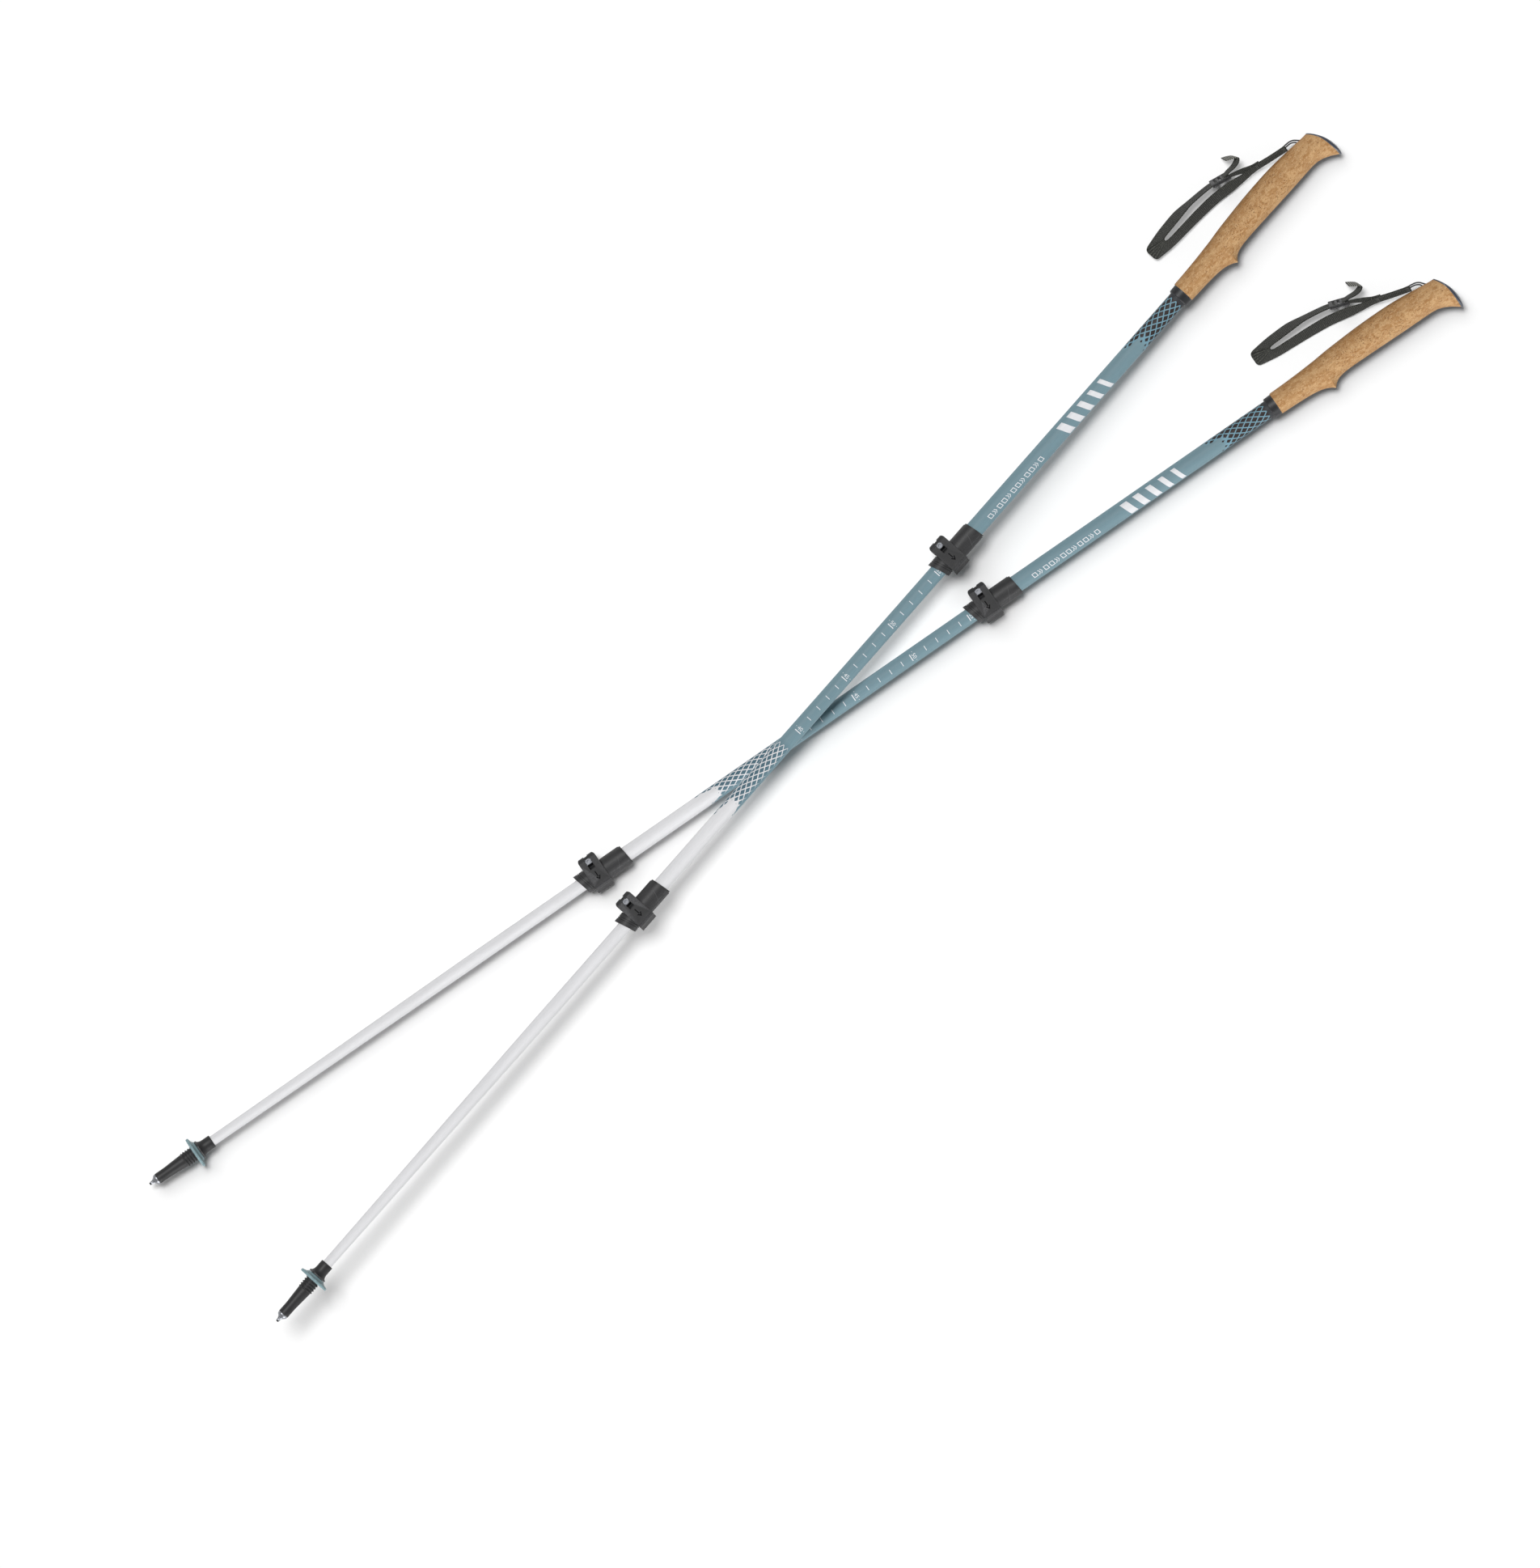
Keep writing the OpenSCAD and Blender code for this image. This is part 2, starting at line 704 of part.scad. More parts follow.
module steel_tip() {
  flare = [for (u = [0:0.1:1]) [1.5 + 3.3 * pow(u, 1.7), 1.2 + 7.1 * u]];
  color("lightgray")
    turned(concat([[1.22, 8.2], [1.22, 1.2]], flare, [[2.5, 8.3], [2.5, 22], [0, 22], [0, 8.2]]));
}

module carbide_point() {
  color("#4a4a4a")
    turned([[0, 0.7], [0.7, 0], [0.95, 0], [1.2, 0.5], [1.2, 8.1], [0, 8.1]]);
}

// ---------- the parts of one pole ----------

module pole_part(name) {
  if (name == "cork_grip") cork_grip();
  if (name == "grip_core") grip_core();
  if (name == "grip_cap") grip_cap();
  if (name == "grip_collar") grip_collar();
  if (name == "strap_pin") strap_pin();
  if (name == "strap_cord") strap_cord();
  if (name == "strap_band") strap_band();
  if (name == "strap_adjuster") strap_adjuster();
  if (name == "strap_buckle") strap_buckle();
  if (name == "upper_tube") upper_tube();
  if (name == "middle_tube") middle_tube();
  if (name == "lower_tube") lower_tube();
  if (name == "middle_guide") middle_guide();
  if (name == "lower_guide") lower_guide();
  if (name == "upper_lock_body") upper_lock_body();
  if (name == "upper_lock_lever") lever(upper_lock_at);
  if (name == "upper_lock_barrel") barrel(upper_lock_at);
  if (name == "upper_lock_screw") screw(upper_lock_at);
  if (name == "upper_lock_nut") nut(upper_lock_at);
  if (name == "lower_lock_body") lower_lock_body();
  if (name == "lower_lock_lever") lever(lower_lock_at);
  if (name == "lower_lock_barrel") barrel(lower_lock_at);
  if (name == "lower_lock_screw") screw(lower_lock_at);
  if (name == "lower_lock_nut") nut(lower_lock_at);
  if (name == "tip_ferrule") tip_ferrule();
  if (name == "basket") basket();
  if (name == "steel_tip") steel_tip();
  if (name == "carbide_point") carbide_point();
}

for (part = PARTS) {
  place_left() pole_part(part);
  place_right() pole_part(part);
}
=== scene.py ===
"""The looks of a pair of trekking poles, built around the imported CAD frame."""

import json
from math import ceil, copysign, cos, exp, pi, radians, sin, sqrt

import bmesh
import bpy
import numpy as np
from mathutils import Matrix, Vector

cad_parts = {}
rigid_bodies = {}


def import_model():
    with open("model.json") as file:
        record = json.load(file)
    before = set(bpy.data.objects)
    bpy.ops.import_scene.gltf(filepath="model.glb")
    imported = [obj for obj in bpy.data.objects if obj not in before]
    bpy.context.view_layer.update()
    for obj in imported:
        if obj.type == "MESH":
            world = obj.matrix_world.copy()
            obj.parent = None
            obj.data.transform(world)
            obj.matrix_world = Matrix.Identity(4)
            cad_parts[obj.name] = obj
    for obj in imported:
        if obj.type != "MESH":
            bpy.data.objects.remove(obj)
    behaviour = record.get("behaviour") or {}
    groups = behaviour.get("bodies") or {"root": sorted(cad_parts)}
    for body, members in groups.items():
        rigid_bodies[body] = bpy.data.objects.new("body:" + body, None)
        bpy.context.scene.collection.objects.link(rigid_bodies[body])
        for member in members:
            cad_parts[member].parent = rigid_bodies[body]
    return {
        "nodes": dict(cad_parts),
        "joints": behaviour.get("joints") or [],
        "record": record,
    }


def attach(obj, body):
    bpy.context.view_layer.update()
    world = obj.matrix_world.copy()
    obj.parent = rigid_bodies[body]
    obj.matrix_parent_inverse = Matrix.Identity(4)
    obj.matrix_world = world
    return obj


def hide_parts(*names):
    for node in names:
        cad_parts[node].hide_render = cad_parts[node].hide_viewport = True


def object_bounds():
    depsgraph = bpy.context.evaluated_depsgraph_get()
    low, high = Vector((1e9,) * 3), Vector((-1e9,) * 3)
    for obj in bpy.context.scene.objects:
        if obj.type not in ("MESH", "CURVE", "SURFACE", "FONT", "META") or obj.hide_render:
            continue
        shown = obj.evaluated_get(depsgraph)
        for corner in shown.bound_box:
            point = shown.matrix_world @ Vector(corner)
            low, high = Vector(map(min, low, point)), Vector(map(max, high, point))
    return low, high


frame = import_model()
cad_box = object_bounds()

MM = 0.001
SIDES = ("right", "left")
JOINTS = {joint["name"]: joint for joint in frame["joints"]}
MOUNTS = {mount["name"]: mount for mount in frame["record"]["mounts"]}


# ---------- the two poles' own axes ----------

class Pole:
    """One pole's own axes in mm: s runs from point to grip, y to the strap side, z up past the levers."""

    def __init__(self, side):
        self.side = side
        along = Vector(JOINTS[f"{side}_middle_slide"]["axis"]).normalized()
        up = Vector(JOINTS[f"{side}_upper_screw_turn"]["axis"]).normalized()
        self.turn = Matrix((along, up.cross(along), up)).transposed()
        nose = Vector(MOUNTS[f"{side}_tip_nose"]["pos_m"])
        point = min(along.dot(v.co) for v in self.node("carbide_point").data.vertices)
        self.start = nose + along * (point - along.dot(nose))
        self.matrix = Matrix.Translation(self.start) @ self.turn.to_4x4() @ Matrix.Scale(MM, 4)

    def node(self, part):
        return frame["nodes"][f"{self.side}_{part}"]

    def reach(self, part):
        """Lowest and highest corner of a CAD node in the pole's own axes, in mm."""
        inverse = np.array(self.matrix.inverted())
        points = np.array([v.co for v in self.node(part).data.vertices])
        local = points @ inverse[:3, :3].T + inverse[:3, 3]
        return local.min(0), local.max(0)

    def low(self, part):
        return self.reach(part)[0][0]

    def high(self, part, axis=0):
        return self.reach(part)[1][axis]

    def middle(self, part):
        low, high = self.reach(part)
        return (low + high) / 2

    def mesh(self, name, shape):
        """A mesh of (points, faces) given in the pole's own axes, in mm."""
        mesh = bpy.data.meshes.new(name)
        mesh.from_pydata([self.matrix @ Vector(p) for p in shape[0]], [], shape[1])
        return mesh


# ---------- mesh helpers; every shape is given in the pole's own axes, in mm ----------

def shade(mesh, sharp):
    """Smooth shading, with hard edges where faces meet at more than an angle in degrees."""
    mesh.polygons.foreach_set("use_smooth", [True] * len(mesh.polygons))
    mesh.set_sharp_from_angle(angle=radians(sharp))


def finish_mesh(mesh, sharp, weld=True):
    """Joins doubled points, turns the faces outward and shades the mesh."""
    bm = bmesh.new()
    bm.from_mesh(mesh)
    if weld:
        bmesh.ops.remove_doubles(bm, verts=bm.verts, dist=1e-7)
    bmesh.ops.recalc_face_normals(bm, faces=bm.faces)
    bm.to_mesh(mesh)
    bm.free()
    shade(mesh, sharp)


def add_object(name, data):
    obj = bpy.data.objects.new(name, data)
    bpy.context.scene.collection.objects.link(obj)
    return obj


def place(pole, name, mesh, material, body, stands_for=()):
    """Makes a visible piece that rides on a body and may stand for CAD nodes."""
    obj = add_object(f"{pole.side}_{name}", mesh)
    mesh.materials.clear()
    mesh.materials.append(material)
    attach(obj, f"{pole.side}_{body}")
    if stands_for:
        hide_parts(*[f"{pole.side}_{part}" for part in stands_for])
    return obj


def piece(pole, name, shape, material, body, stands_for=(), sharp=35):
    """A visible piece from (points, faces)."""
    mesh = pole.mesh(f"{pole.side}_{name}", shape)
    finish_mesh(mesh, sharp)
    return place(pole, name, mesh, material, body, stands_for)


def around(sides):
    """Angles at even steps round a circle."""
    return [2 * pi * i / sides for i in range(sides)]


def loft(rings, close_start=True, close_end=True, loop=False):
    """A skin over rings of equally many points. loop joins the last ring to the first."""
    count = len(rings[0])
    points = [tuple(p) for ring in rings for p in ring]
    faces = []
    steps = len(rings) if loop else len(rings) - 1
    for j in range(steps):
        low, high = j * count, (j + 1) % len(rings) * count
        for i in range(count):
            k = (i + 1) % count
            faces.append((low + i, low + k, high + k, high + i))
    if not loop:
        for ring, wanted in ((0, close_start), (len(rings) - 1, close_end)):
            if wanted:
                points.append(tuple(np.mean(np.array(rings[ring], float), axis=0)))
                base = ring * count
                faces += [(base + i, base + (i + 1) % count, len(points) - 1) for i in range(count)]
    return points, faces


def turned(profile, sides):
    """A solid of revolution. profile is [(s, r)], where r may be a function of the angle."""
    rings = []
    for s, r in profile:
        radii = [(r(a) if callable(r) else r, a) for a in around(sides)]
        rings.append([(s, -radius * sin(a), radius * cos(a)) for radius, a in radii])
    return loft(rings, loop=True)


def joined(*shapes):
    points, faces = [], []
    for more_points, more_faces in shapes:
        base = len(points)
        points += list(more_points)
        faces += [tuple(base + i for i in face) for face in more_faces]
    return points, faces


def cubic(p0, p1, p2, p3, t):
    """Catmull-Rom between p1 and p2."""
    return 0.5 * (2 * p1 + (p2 - p0) * t + (2 * p0 - 5 * p1 + 4 * p2 - p3) * t * t
                  + (3 * p1 - p0 - 3 * p2 + p3) * t * t * t)


def curve(keys, x):
    """A value read off a smooth curve through keys [(position, value)]."""
    last = len(keys) - 1
    i = 0
    while i < last - 1 and x >= keys[i + 1][0]:
        i += 1
    t = min(1, max(0, (x - keys[i][0]) / (keys[i + 1][0] - keys[i][0])))
    near = [keys[min(last, max(0, k))][1] for k in (i - 1, i, i + 1, i + 2)]
    return cubic(*near, t)


def spaced(keys, step):
    """Points along a smooth curve through keys, equally long number rows, at nearly even steps."""
    keys = np.array(keys, float)
    last = len(keys) - 1
    fine = [cubic(keys[max(0, i - 1)], keys[i], keys[i + 1], keys[min(last, i + 2)], k / 24)
            for i in range(last) for k in range(24)]
    fine = np.array(fine + [keys[last]])
    middle = fine.reshape(len(fine), -1, 3).mean(axis=1)
    gone = np.concatenate([[0], np.cumsum(np.linalg.norm(np.diff(middle, axis=0), axis=1))])
    count = max(2, round(gone[-1] / step) + 1)
    wanted = np.linspace(0, gone[-1], count)
    return np.array([np.interp(wanted, gone, fine[:, c]) for c in range(fine.shape[1])]).T, wanted


# ---------- materials ----------

def srgb(r, g, b):
    """A colour given as 0 to 255 display values, as linear RGBA."""
    shares = (r / 255, g / 255, b / 255)
    linear = [c / 12.92 if c <= 0.04045 else ((c + 0.055) / 1.055) ** 2.4 for c in shares]
    return (*linear, 1)


class Value:
    """A node's output, which can be added, subtracted and multiplied like a number."""

    __array_ufunc__ = None  # so that numpy's numbers leave such sums to this class

    def __init__(self, shader, socket):
        self.shader = shader
        self.socket = socket

    def __add__(self, other):
        return self.shader.math("ADD", self, other)

    def __sub__(self, other):
        return self.shader.math("SUBTRACT", self, other)

    def __rsub__(self, other):
        return self.shader.math("SUBTRACT", other, self)

    def __mul__(self, other):
        return self.shader.math("MULTIPLY", self, other)

    def above(self, limit):
        return self.shader.math("GREATER_THAN", self, limit)

    def smooth(self, low, high, to_low=0, to_high=1):
        """Runs smoothly from to_low at low to to_high at high."""
        names = ("Value", "From Min", "From Max", "To Min", "To Max")
        inputs = zip(names, (self, low, high, to_low, to_high))
        return self.shader.node("MapRange", inputs, interpolation_type="SMOOTHSTEP")


class Shader:
    """Builds a Principled material. Given a pole, it knows a point's place on that pole."""

    def __init__(self, name, pole=None):
        self.material = bpy.data.materials.new(f"{pole.side}_{name}" if pole else name)
        self.material.use_nodes = True
        self.nodes = self.material.node_tree.nodes
        self.links = self.material.node_tree.links
        self.nodes.clear()
        out = self.nodes.new("ShaderNodeOutputMaterial")
        self.bsdf = self.nodes.new("ShaderNodeBsdfPrincipled")
        self.links.new(self.bsdf.outputs[0], out.inputs["Surface"])
        if pole:
            self.measure(pole)

    def measure(self, pole):
        """The pole's own axes in mm, and degrees round the pole from the lever side."""
        place_node = self.node("TexCoord", output="Object")
        inputs = {"Vector": place_node, "Location": pole.start,
                  "Rotation": pole.turn.to_euler("XYZ"), "Scale": (MM, MM, MM)}
        self.vector = self.node("Mapping", inputs, vector_type="TEXTURE")
        self.s, self.y, self.z = self.split(self.vector)
        self.angle = self.math("DEGREES", self.math("ARCTAN2", self.y * -1, self.z))

    def put(self, value, socket):
        if isinstance(value, Value):
            self.links.new(value.socket, socket)
        else:
            socket.default_value = value

    def node(self, kind, inputs=(), output=0, **settings):
        """Adds a node, sets its properties, feeds its inputs by name or number, and returns an output."""
        node = self.nodes.new("ShaderNode" + kind)
        for name, value in settings.items():
            setattr(node, name, value)
        for name, value in dict(inputs).items():
            self.put(value, node.inputs[name])
        return Value(self, node.outputs[output])

    def finish(self, colour, roughness, height, depth, **more):
        """Sets the material's inputs. The bump's height is in mm and is scaled by depth."""
        normal = self.node("Bump", {"Strength": 1, "Distance": depth * MM, "Height": height})
        return self.set(Base_Color=colour, Roughness=roughness, Normal=normal, **more)

    def set(self, **values):
        for name, value in values.items():
            self.put(value, self.bsdf.inputs[name.replace("_", " ")])
        return self.material

    def math(self, operation, a, b=0, c=0):
        return self.node("Math", enumerate((a, b, c)), operation=operation)

    def mix(self, factor, a, b, blend="MIX"):
        inputs = {"Factor": factor, 6: a, 7: b}
        return self.node("Mix", inputs, 2, data_type="RGBA", blend_type=blend)

    def layered(self, colour, *layers):
        """A colour with others laid over it, each given as (amount, colour)."""
        for amount, over in layers:
            colour = self.mix(amount, colour, over)
        return colour

    def toned(self, colour, tone):
        """A colour made lighter or darker by a factor."""
        return self.mix(1, colour, self.combine(tone, tone, tone), "MULTIPLY")

    def combine(self, x, y, z):
        return self.node("CombineXYZ", enumerate((x, y, z)))

    def split(self, vector):
        first = self.node("SeparateXYZ", {0: vector})
        return [Value(self, socket) for socket in first.socket.node.outputs]

    def scaled(self, vector, *scale):
        return self.node("VectorMath", {0: vector, 1: scale}, operation="MULTIPLY")

    def noise(self, scale, detail=3, roughness=0.55, stretch=None, of=None):
        """Noise over the pole's own axes, or over another vector, which may be stretched first."""
        vector = of or self.vector
        if stretch:
            vector = self.scaled(vector, *stretch)
        inputs = {"Vector": vector, "Scale": scale, "Detail": detail, "Roughness": roughness}
        return self.node("TexNoise", inputs)

    def shaken(self, scale, by):
        """The pole's own axes moved about by a noise, to break up regular shapes."""
        inputs = {"Vector": self.vector, "Scale": scale, "Detail": 3}
        noise = self.node("TexNoise", inputs, "Color")
        inputs = {0: noise, 1: (by, by, by), 2: self.vector}
        return self.node("VectorMath", inputs, operation="MULTIPLY_ADD")

    def cells(self, vector, scale, feature="F1", output="Distance"):
        return self.node("TexVoronoi", {"Vector": vector, "Scale": scale}, output, feature=feature)

    def attribute(self, name, output="Fac"):
        return self.node("Attribute", output=output, attribute_name=name)


def rubbed(shader, tinted, colour, amount, scale=0.9, ramp=(0.4, 0.6)):
    """A colour with its outer edges paler here and there: wear on most parts, and on the basket a painted
    highlight along its rims.
    """
    edge = shader.node("NewGeometry", output="Pointiness").smooth(0.52, 0.58, 0, amount)
    return shader.mix(edge * shader.noise(scale, 4).smooth(*ramp), tinted, colour)


# Webbing weave, and where the stripes at the end of the loose tail begin, along it
RIB_PITCH, RIB_DEPTH = 1.55, 0.09
TAIL_KIND, TAIL_STRIPES_FROM, TAIL_STRIPE_PITCH = 7, 25, 1.9

# The net of lines on the tubes: a diamond's length along the tube, and how many fit round it
NET_PITCH, NET_STARTS = 8.57, 9

# Colours as display values
BLUE = srgb(109, 135, 144)
BLUE_DEEP = srgb(68, 98, 112)
BLUE_LINE = srgb(110, 150, 167)
WHITE = srgb(206, 206, 208)
PRINT = srgb(212, 213, 216)
NEAR_BLACK = srgb(47, 40, 39)
PLAIN_BLACK = srgb(52, 54, 57)


def lattice(shader, phase_s, phase_angle):
    """Distance from the middle of a diamond, 0 to 0.5, in a net of helical lines."""
    along = (shader.s - phase_s) * (1 / NET_PITCH)
    across = (shader.angle - phase_angle) * (NET_STARTS / 360)
    return shader.math("MAXIMUM", *[
        shader.math("ABSOLUTE", shader.math("FRACT", line) - 0.5)
        for line in (along + across, along - across)])


def lacquer(shader, colour):
    """Satin lacquer over rolled carbon: flow lines, orange peel and fine scuffs along the tube."""
    weave = shader.noise(1.6, 2, stretch=(0.12, 1, 1))
    drift = shader.noise(1, stretch=(0.02, 0.2, 0.2))
    tone = (weave * 0.5 + drift * 0.5).smooth(0.3, 0.7, 0.955, 1.035)
    scuffs = shader.noise(1, 5, 0.7, (0.05, 2.2, 2.2))
    peel = shader.noise(1.1, 2)
    fine = shader.noise(1, stretch=(0.3, 3, 3))
    return shader.finish(shader.toned(colour, tone), scuffs.smooth(0.45, 0.75, 0.55, 0.69),
                         peel + fine * 0.25, 0.035,
                         Specular_IOR_Level=0.2, Coat_Weight=0.04, Coat_Roughness=0.4)


def upper_tube_paint(pole):
    """Blue, with a net of blue lines over dark diamonds that grow towards the collar's edge."""
    shader = Shader("upper_tube_lacquer", pole)
    top = pole.low("grip_collar")
    s, angle = shader.s, shader.angle
    first = top - 55.5 - angle.smooth(-42, -18, 15, 0) - angle.smooth(46, 74, 0, 5)
    grown = s.smooth(first, first + 17)
    size = shader.math("POWER", grown, 0.55) * 0.398
    diamond = (lattice(shader, top - 3.2, 4) - size).smooth(-0.02, 0.02, 1, 0)
    netted = shader.mix(grown.smooth(0.1, 0.5) * 0.75, BLUE, BLUE_LINE)
    return lacquer(shader, shader.layered(netted, (diamond * size.above(0.06), NEAR_BLACK),
                                          (s.smooth(top - 3.4, top - 2.8), PLAIN_BLACK)))


def rounded_white(shader):
    """White with painted shade: brightest a little behind the top of the tube and greyer down its sides, as
    light falls on a round tube.
    """
    behind = shader.angle.smooth(-88, -35, 0.93, 1)
    before = shader.angle.smooth(5, 72, 1, 0.84)
    return shader.toned(WHITE, behind * before * 1.05)


def middle_tube_paint(pole):
    """White at its lower end, then white lines over blue diamonds, then plain blue, with painted light and
    shade round the tube.
    """
    shader = Shader("middle_tube_lacquer", pole)
    lock_top = pole.high("lower_lock_body")
    s, angle = shader.s, shader.angle
    net_from = lock_top + 93
    net_to = lock_top + 164
    first = net_from - angle.smooth(-72, -28, 22, 0) - angle.smooth(38, 72, 0, 12)
    grown = s.smooth(first, first + 11)
    line = angle.smooth(24, 56, 0.105, 0) * s.smooth(net_to - 9, net_to, 1, 0.6)
    size = shader.math("POWER", grown, 0.5) * (0.5 - line)
    diamond = (lattice(shader, net_to, -4) - size).smooth(-0.018, 0.018, 1, 0)
    blue_part = shader.math("MAXIMUM", diamond * size.above(0.2), s.above(net_to))
    # Under the net the blue is deeper. Its grading round the tube, dark at the back and lighter towards the
    # front, is painted light and shade; towards the net's end it turns plain blue.
    lighter = shader.math("MAXIMUM", s.smooth(net_to - 12, net_to + 6),
                          angle.smooth(-10, 70, 0, 0.8))
    net_blue_with_painted_light = shader.mix(lighter, BLUE_DEEP, BLUE)
    return lacquer(shader, shader.mix(blue_part, rounded_white(shader), net_blue_with_painted_light))


def white_paint(pole):
    shader = Shader("lower_tube_lacquer", pole)
    # White lacquer with painted shade down the tube's sides
    return lacquer(shader, rounded_white(shader))


def print_ink(pole):
    """Screen-printed ink: nearly flat white with pin holes and slightly uneven cover."""
    shader = Shader("print_ink", pole)
    cover = shader.noise(3, 4, 0.7)
    colour = shader.mix(cover.smooth(0.62, 0.8), PRINT, srgb(196, 204, 212))
    return shader.finish(colour, 0.5, cover, 0.01)


def cork(pole):
    """Ground cork: granules of many browns pressed together, dark bark flecks, a sanded skin and painted
    shade down its back.
    """
    shader = Shader("cork", pole)
    angle = shader.angle
    bent = shader.shaken(0.55, 1.5)
    long_bits = shader.scaled(bent, 0.62, 1, 1)
    granule = shader.split(shader.cells(long_bits, 0.62, output="Color"))[0]
    grain = shader.noise(1.5, 6, 0.7, (0.7, 1.2, 1.2))
    patch = shader.noise(0.16, 4, 0.6, (0.6, 1, 1))
    base = shader.layered(
        srgb(166, 124, 78),
        (granule.smooth(0, 1), srgb(196, 160, 116)),
        (grain.smooth(0.34, 0.62, 0.75, 0), srgb(148, 104, 60)),
        (grain.smooth(0.55, 0.75, 0, 0.6), srgb(214, 182, 138)),
        (patch.smooth(0.42, 0.64, 0, 0.4), srgb(202, 166, 120)),
        # Painted shade: the back of the grip is darker, as it faces away from the light
        (angle.smooth(-85, -15, 1, 0) * 0.45, srgb(132, 90, 50)))
    along = shader.s - pole.low("cork_grip")
    zone = along.smooth(38, 72, 0.22, 1) * along.smooth(132, 172, 1, 0.2)
    chance = shader.noise(0.14, 2)
    picked = zone * angle.smooth(5, 60, 1, 0.45) * chance.smooth(0.32, 0.6, 0.16, 0.62)
    bits = shader.scaled(bent, 0.5, 1, 1)
    lot = shader.split(shader.cells(bits, 1.25, output="Color"))
    reach = lot[1].smooth(0, 1, 0.14, 0.4)
    fleck = (shader.cells(bits, 1.25) - reach).smooth(-0.09, 0.03, 1, 0)
    fleck = fleck * (lot[2] - picked).smooth(-0.02, 0.02, 1, 0)
    dust_near = shader.cells(shader.scaled(bent, 0.8, 1, 1), 2.2)
    dust = dust_near.smooth(0.08, 0.24, 0.8, 0) * chance.smooth(0.4, 0.6, 0.15, 0.8)
    pits = shader.math("MAXIMUM", fleck, dust)
    seam = shader.cells(long_bits, 0.62, "DISTANCE_TO_EDGE").smooth(0, 0.1, 1, 0)
    # Light that bounces off the cork stays grey, so that it doesn't colour the floor
    bounced = shader.node("LightPath", output="Is Diffuse Ray")
    colour = shader.layered(
        base,
        (pits * 0.85, shader.mix(lot[0], srgb(84, 50, 26), srgb(124, 80, 44))),
        (seam * 0.14, srgb(136, 94, 54)),
        (bounced, srgb(90, 90, 90)))
    height = grain * 0.6 - (pits + seam * 0.12)
    rough = grain.smooth(0.3, 0.7, 0.66, 0.86)
    return shader.finish(colour, rough, height, 0.2, Specular_IOR_Level=0.25)


def moulded(shader, colour, darkest, lightest, fineness=5.5, flow=(0.08, 0.3, 0.3)):
    """Nylon's spark-eroded texture, and its colour with faint flow marks."""
    marks = shader.noise(1, stretch=flow).smooth(0.3, 0.7, darkest, lightest)
    return shader.noise(fineness, 3, 0.6), shader.toned(colour, marks)


def plastic(pole, name, colour, roughness=0.5, texture=1, edge=srgb(112, 112, 114)):
    """Moulded nylon with paler edges: wear, and on the basket a painted highlight."""
    shader = Shader(name, pole)
    spark, tinted = moulded(shader, colour, 0.9, 1.1)
    rough = spark.smooth(0.35, 0.65, roughness - 0.05, roughness + 0.09)
    return shader.finish(rubbed(shader, tinted, edge, 0.35), rough, spark, 0.03 * texture,
                         Specular_IOR_Level=0.3)


def lock_plastic(pole, which):
    """The same nylon, with painted shade in the grooves by the lower end, and the mould's parting line."""
    shader = Shader(f"{which}_lock_plastic", pole)
    lock_at = pole.low(f"{which}_lock_body")
    spark, tinted = moulded(shader, srgb(46, 46, 47), 0.88, 1.12)
    radius = shader.math("SQRT", shader.y * shader.y + shader.z * shader.z)
    low_end = shader.s.smooth(lock_at + 12, lock_at + 13, 1, 0)
    # Painted shade: the grooves near the lower end, inside the outer radius, are darkened
    painted_groove_shade = radius.smooth(9.7, 9.9, 0.85, 0) * low_end
    front = shader.y * -1
    bow = front * 0.34 + front * front * 0.012
    off_line = shader.math("ABSOLUTE", shader.s - (lock_at + 42) + bow)
    line = off_line.smooth(0.1, 0.24, 0.55, 0) * front.smooth(-3, 0)
    tinted = shader.layered(tinted, (painted_groove_shade, srgb(14, 14, 15)), (line, srgb(88, 88, 90)))
    tinted = rubbed(shader, tinted, srgb(84, 84, 86), 0.4)
    return shader.finish(tinted, spark.smooth(0.35, 0.65, 0.46, 0.6), spark - line * 1.5, 0.035,
                         Specular_IOR_Level=0.3)


def lever_plastic(pole, which):
    """Nylon with a coarser texture; the engraved arrow is matt black and the rim is worn paler."""
    shader = Shader(f"{which}_lever_plastic", pole)
    plate_top = pole.high(f"{which}_lock_lever", 2)
    spark, tinted = moulded(shader, srgb(38, 38, 39), 0.9, 1.12, 4.5, (0.15, 0.15, 0.15))
    sunk = shader.z.smooth(plate_top - 0.2, plate_top - 0.1, 1, 0)
    sunk = sunk * shader.z.above(plate_top - 0.5)
    engraved = sunk * shader.math("COMPARE", shader.y, -0.9, 4.7)
    tinted = shader.mix(engraved, tinted, srgb(20, 20, 21))
    tinted = rubbed(shader, tinted, srgb(78, 78, 80), 0.75, 0.8, (0.35, 0.6, 0.4, 1))
    return shader.finish(tinted, spark.smooth(0.35, 0.65, 0.44, 0.58), spark, 0.04,
                         Specular_IOR_Level=engraved.smooth(0, 1, 0.3, 0))


def metal(pole, name, colour, roughness):
    """Turned metal: fine tool rings round the pole and small nicks."""
    shader = Shader(name, pole)
    rings = shader.noise(1, 2, of=shader.combine(shader.s * 9, 0, 0))
    nicks = shader.noise(1.4, 5, 0.7)
    rough = nicks.smooth(0.5, 0.75, roughness, roughness + 0.25) + rings * 0.06
    dull = shader.mix(nicks.smooth(0.55, 0.75, 0, 0.4), colour, srgb(118, 116, 114))
    return shader.finish(dull, rough, rings, 0.012, Metallic=1)


def cap_plastic(pole):
    """Dark cap with a pale line along its edge; the mesh says where the line runs."""
    shader = Shader("cap", pole)
    spark = shader.noise(5)
    line = shader.attribute("inlay").smooth(0.45, 0.55)
    colour = shader.mix(line, srgb(58, 63, 74), srgb(148, 151, 157))
    return shader.finish(colour, spark.smooth(0.3, 0.7, 0.42, 0.54), spark, 0.02, Coat_Weight=0.2)


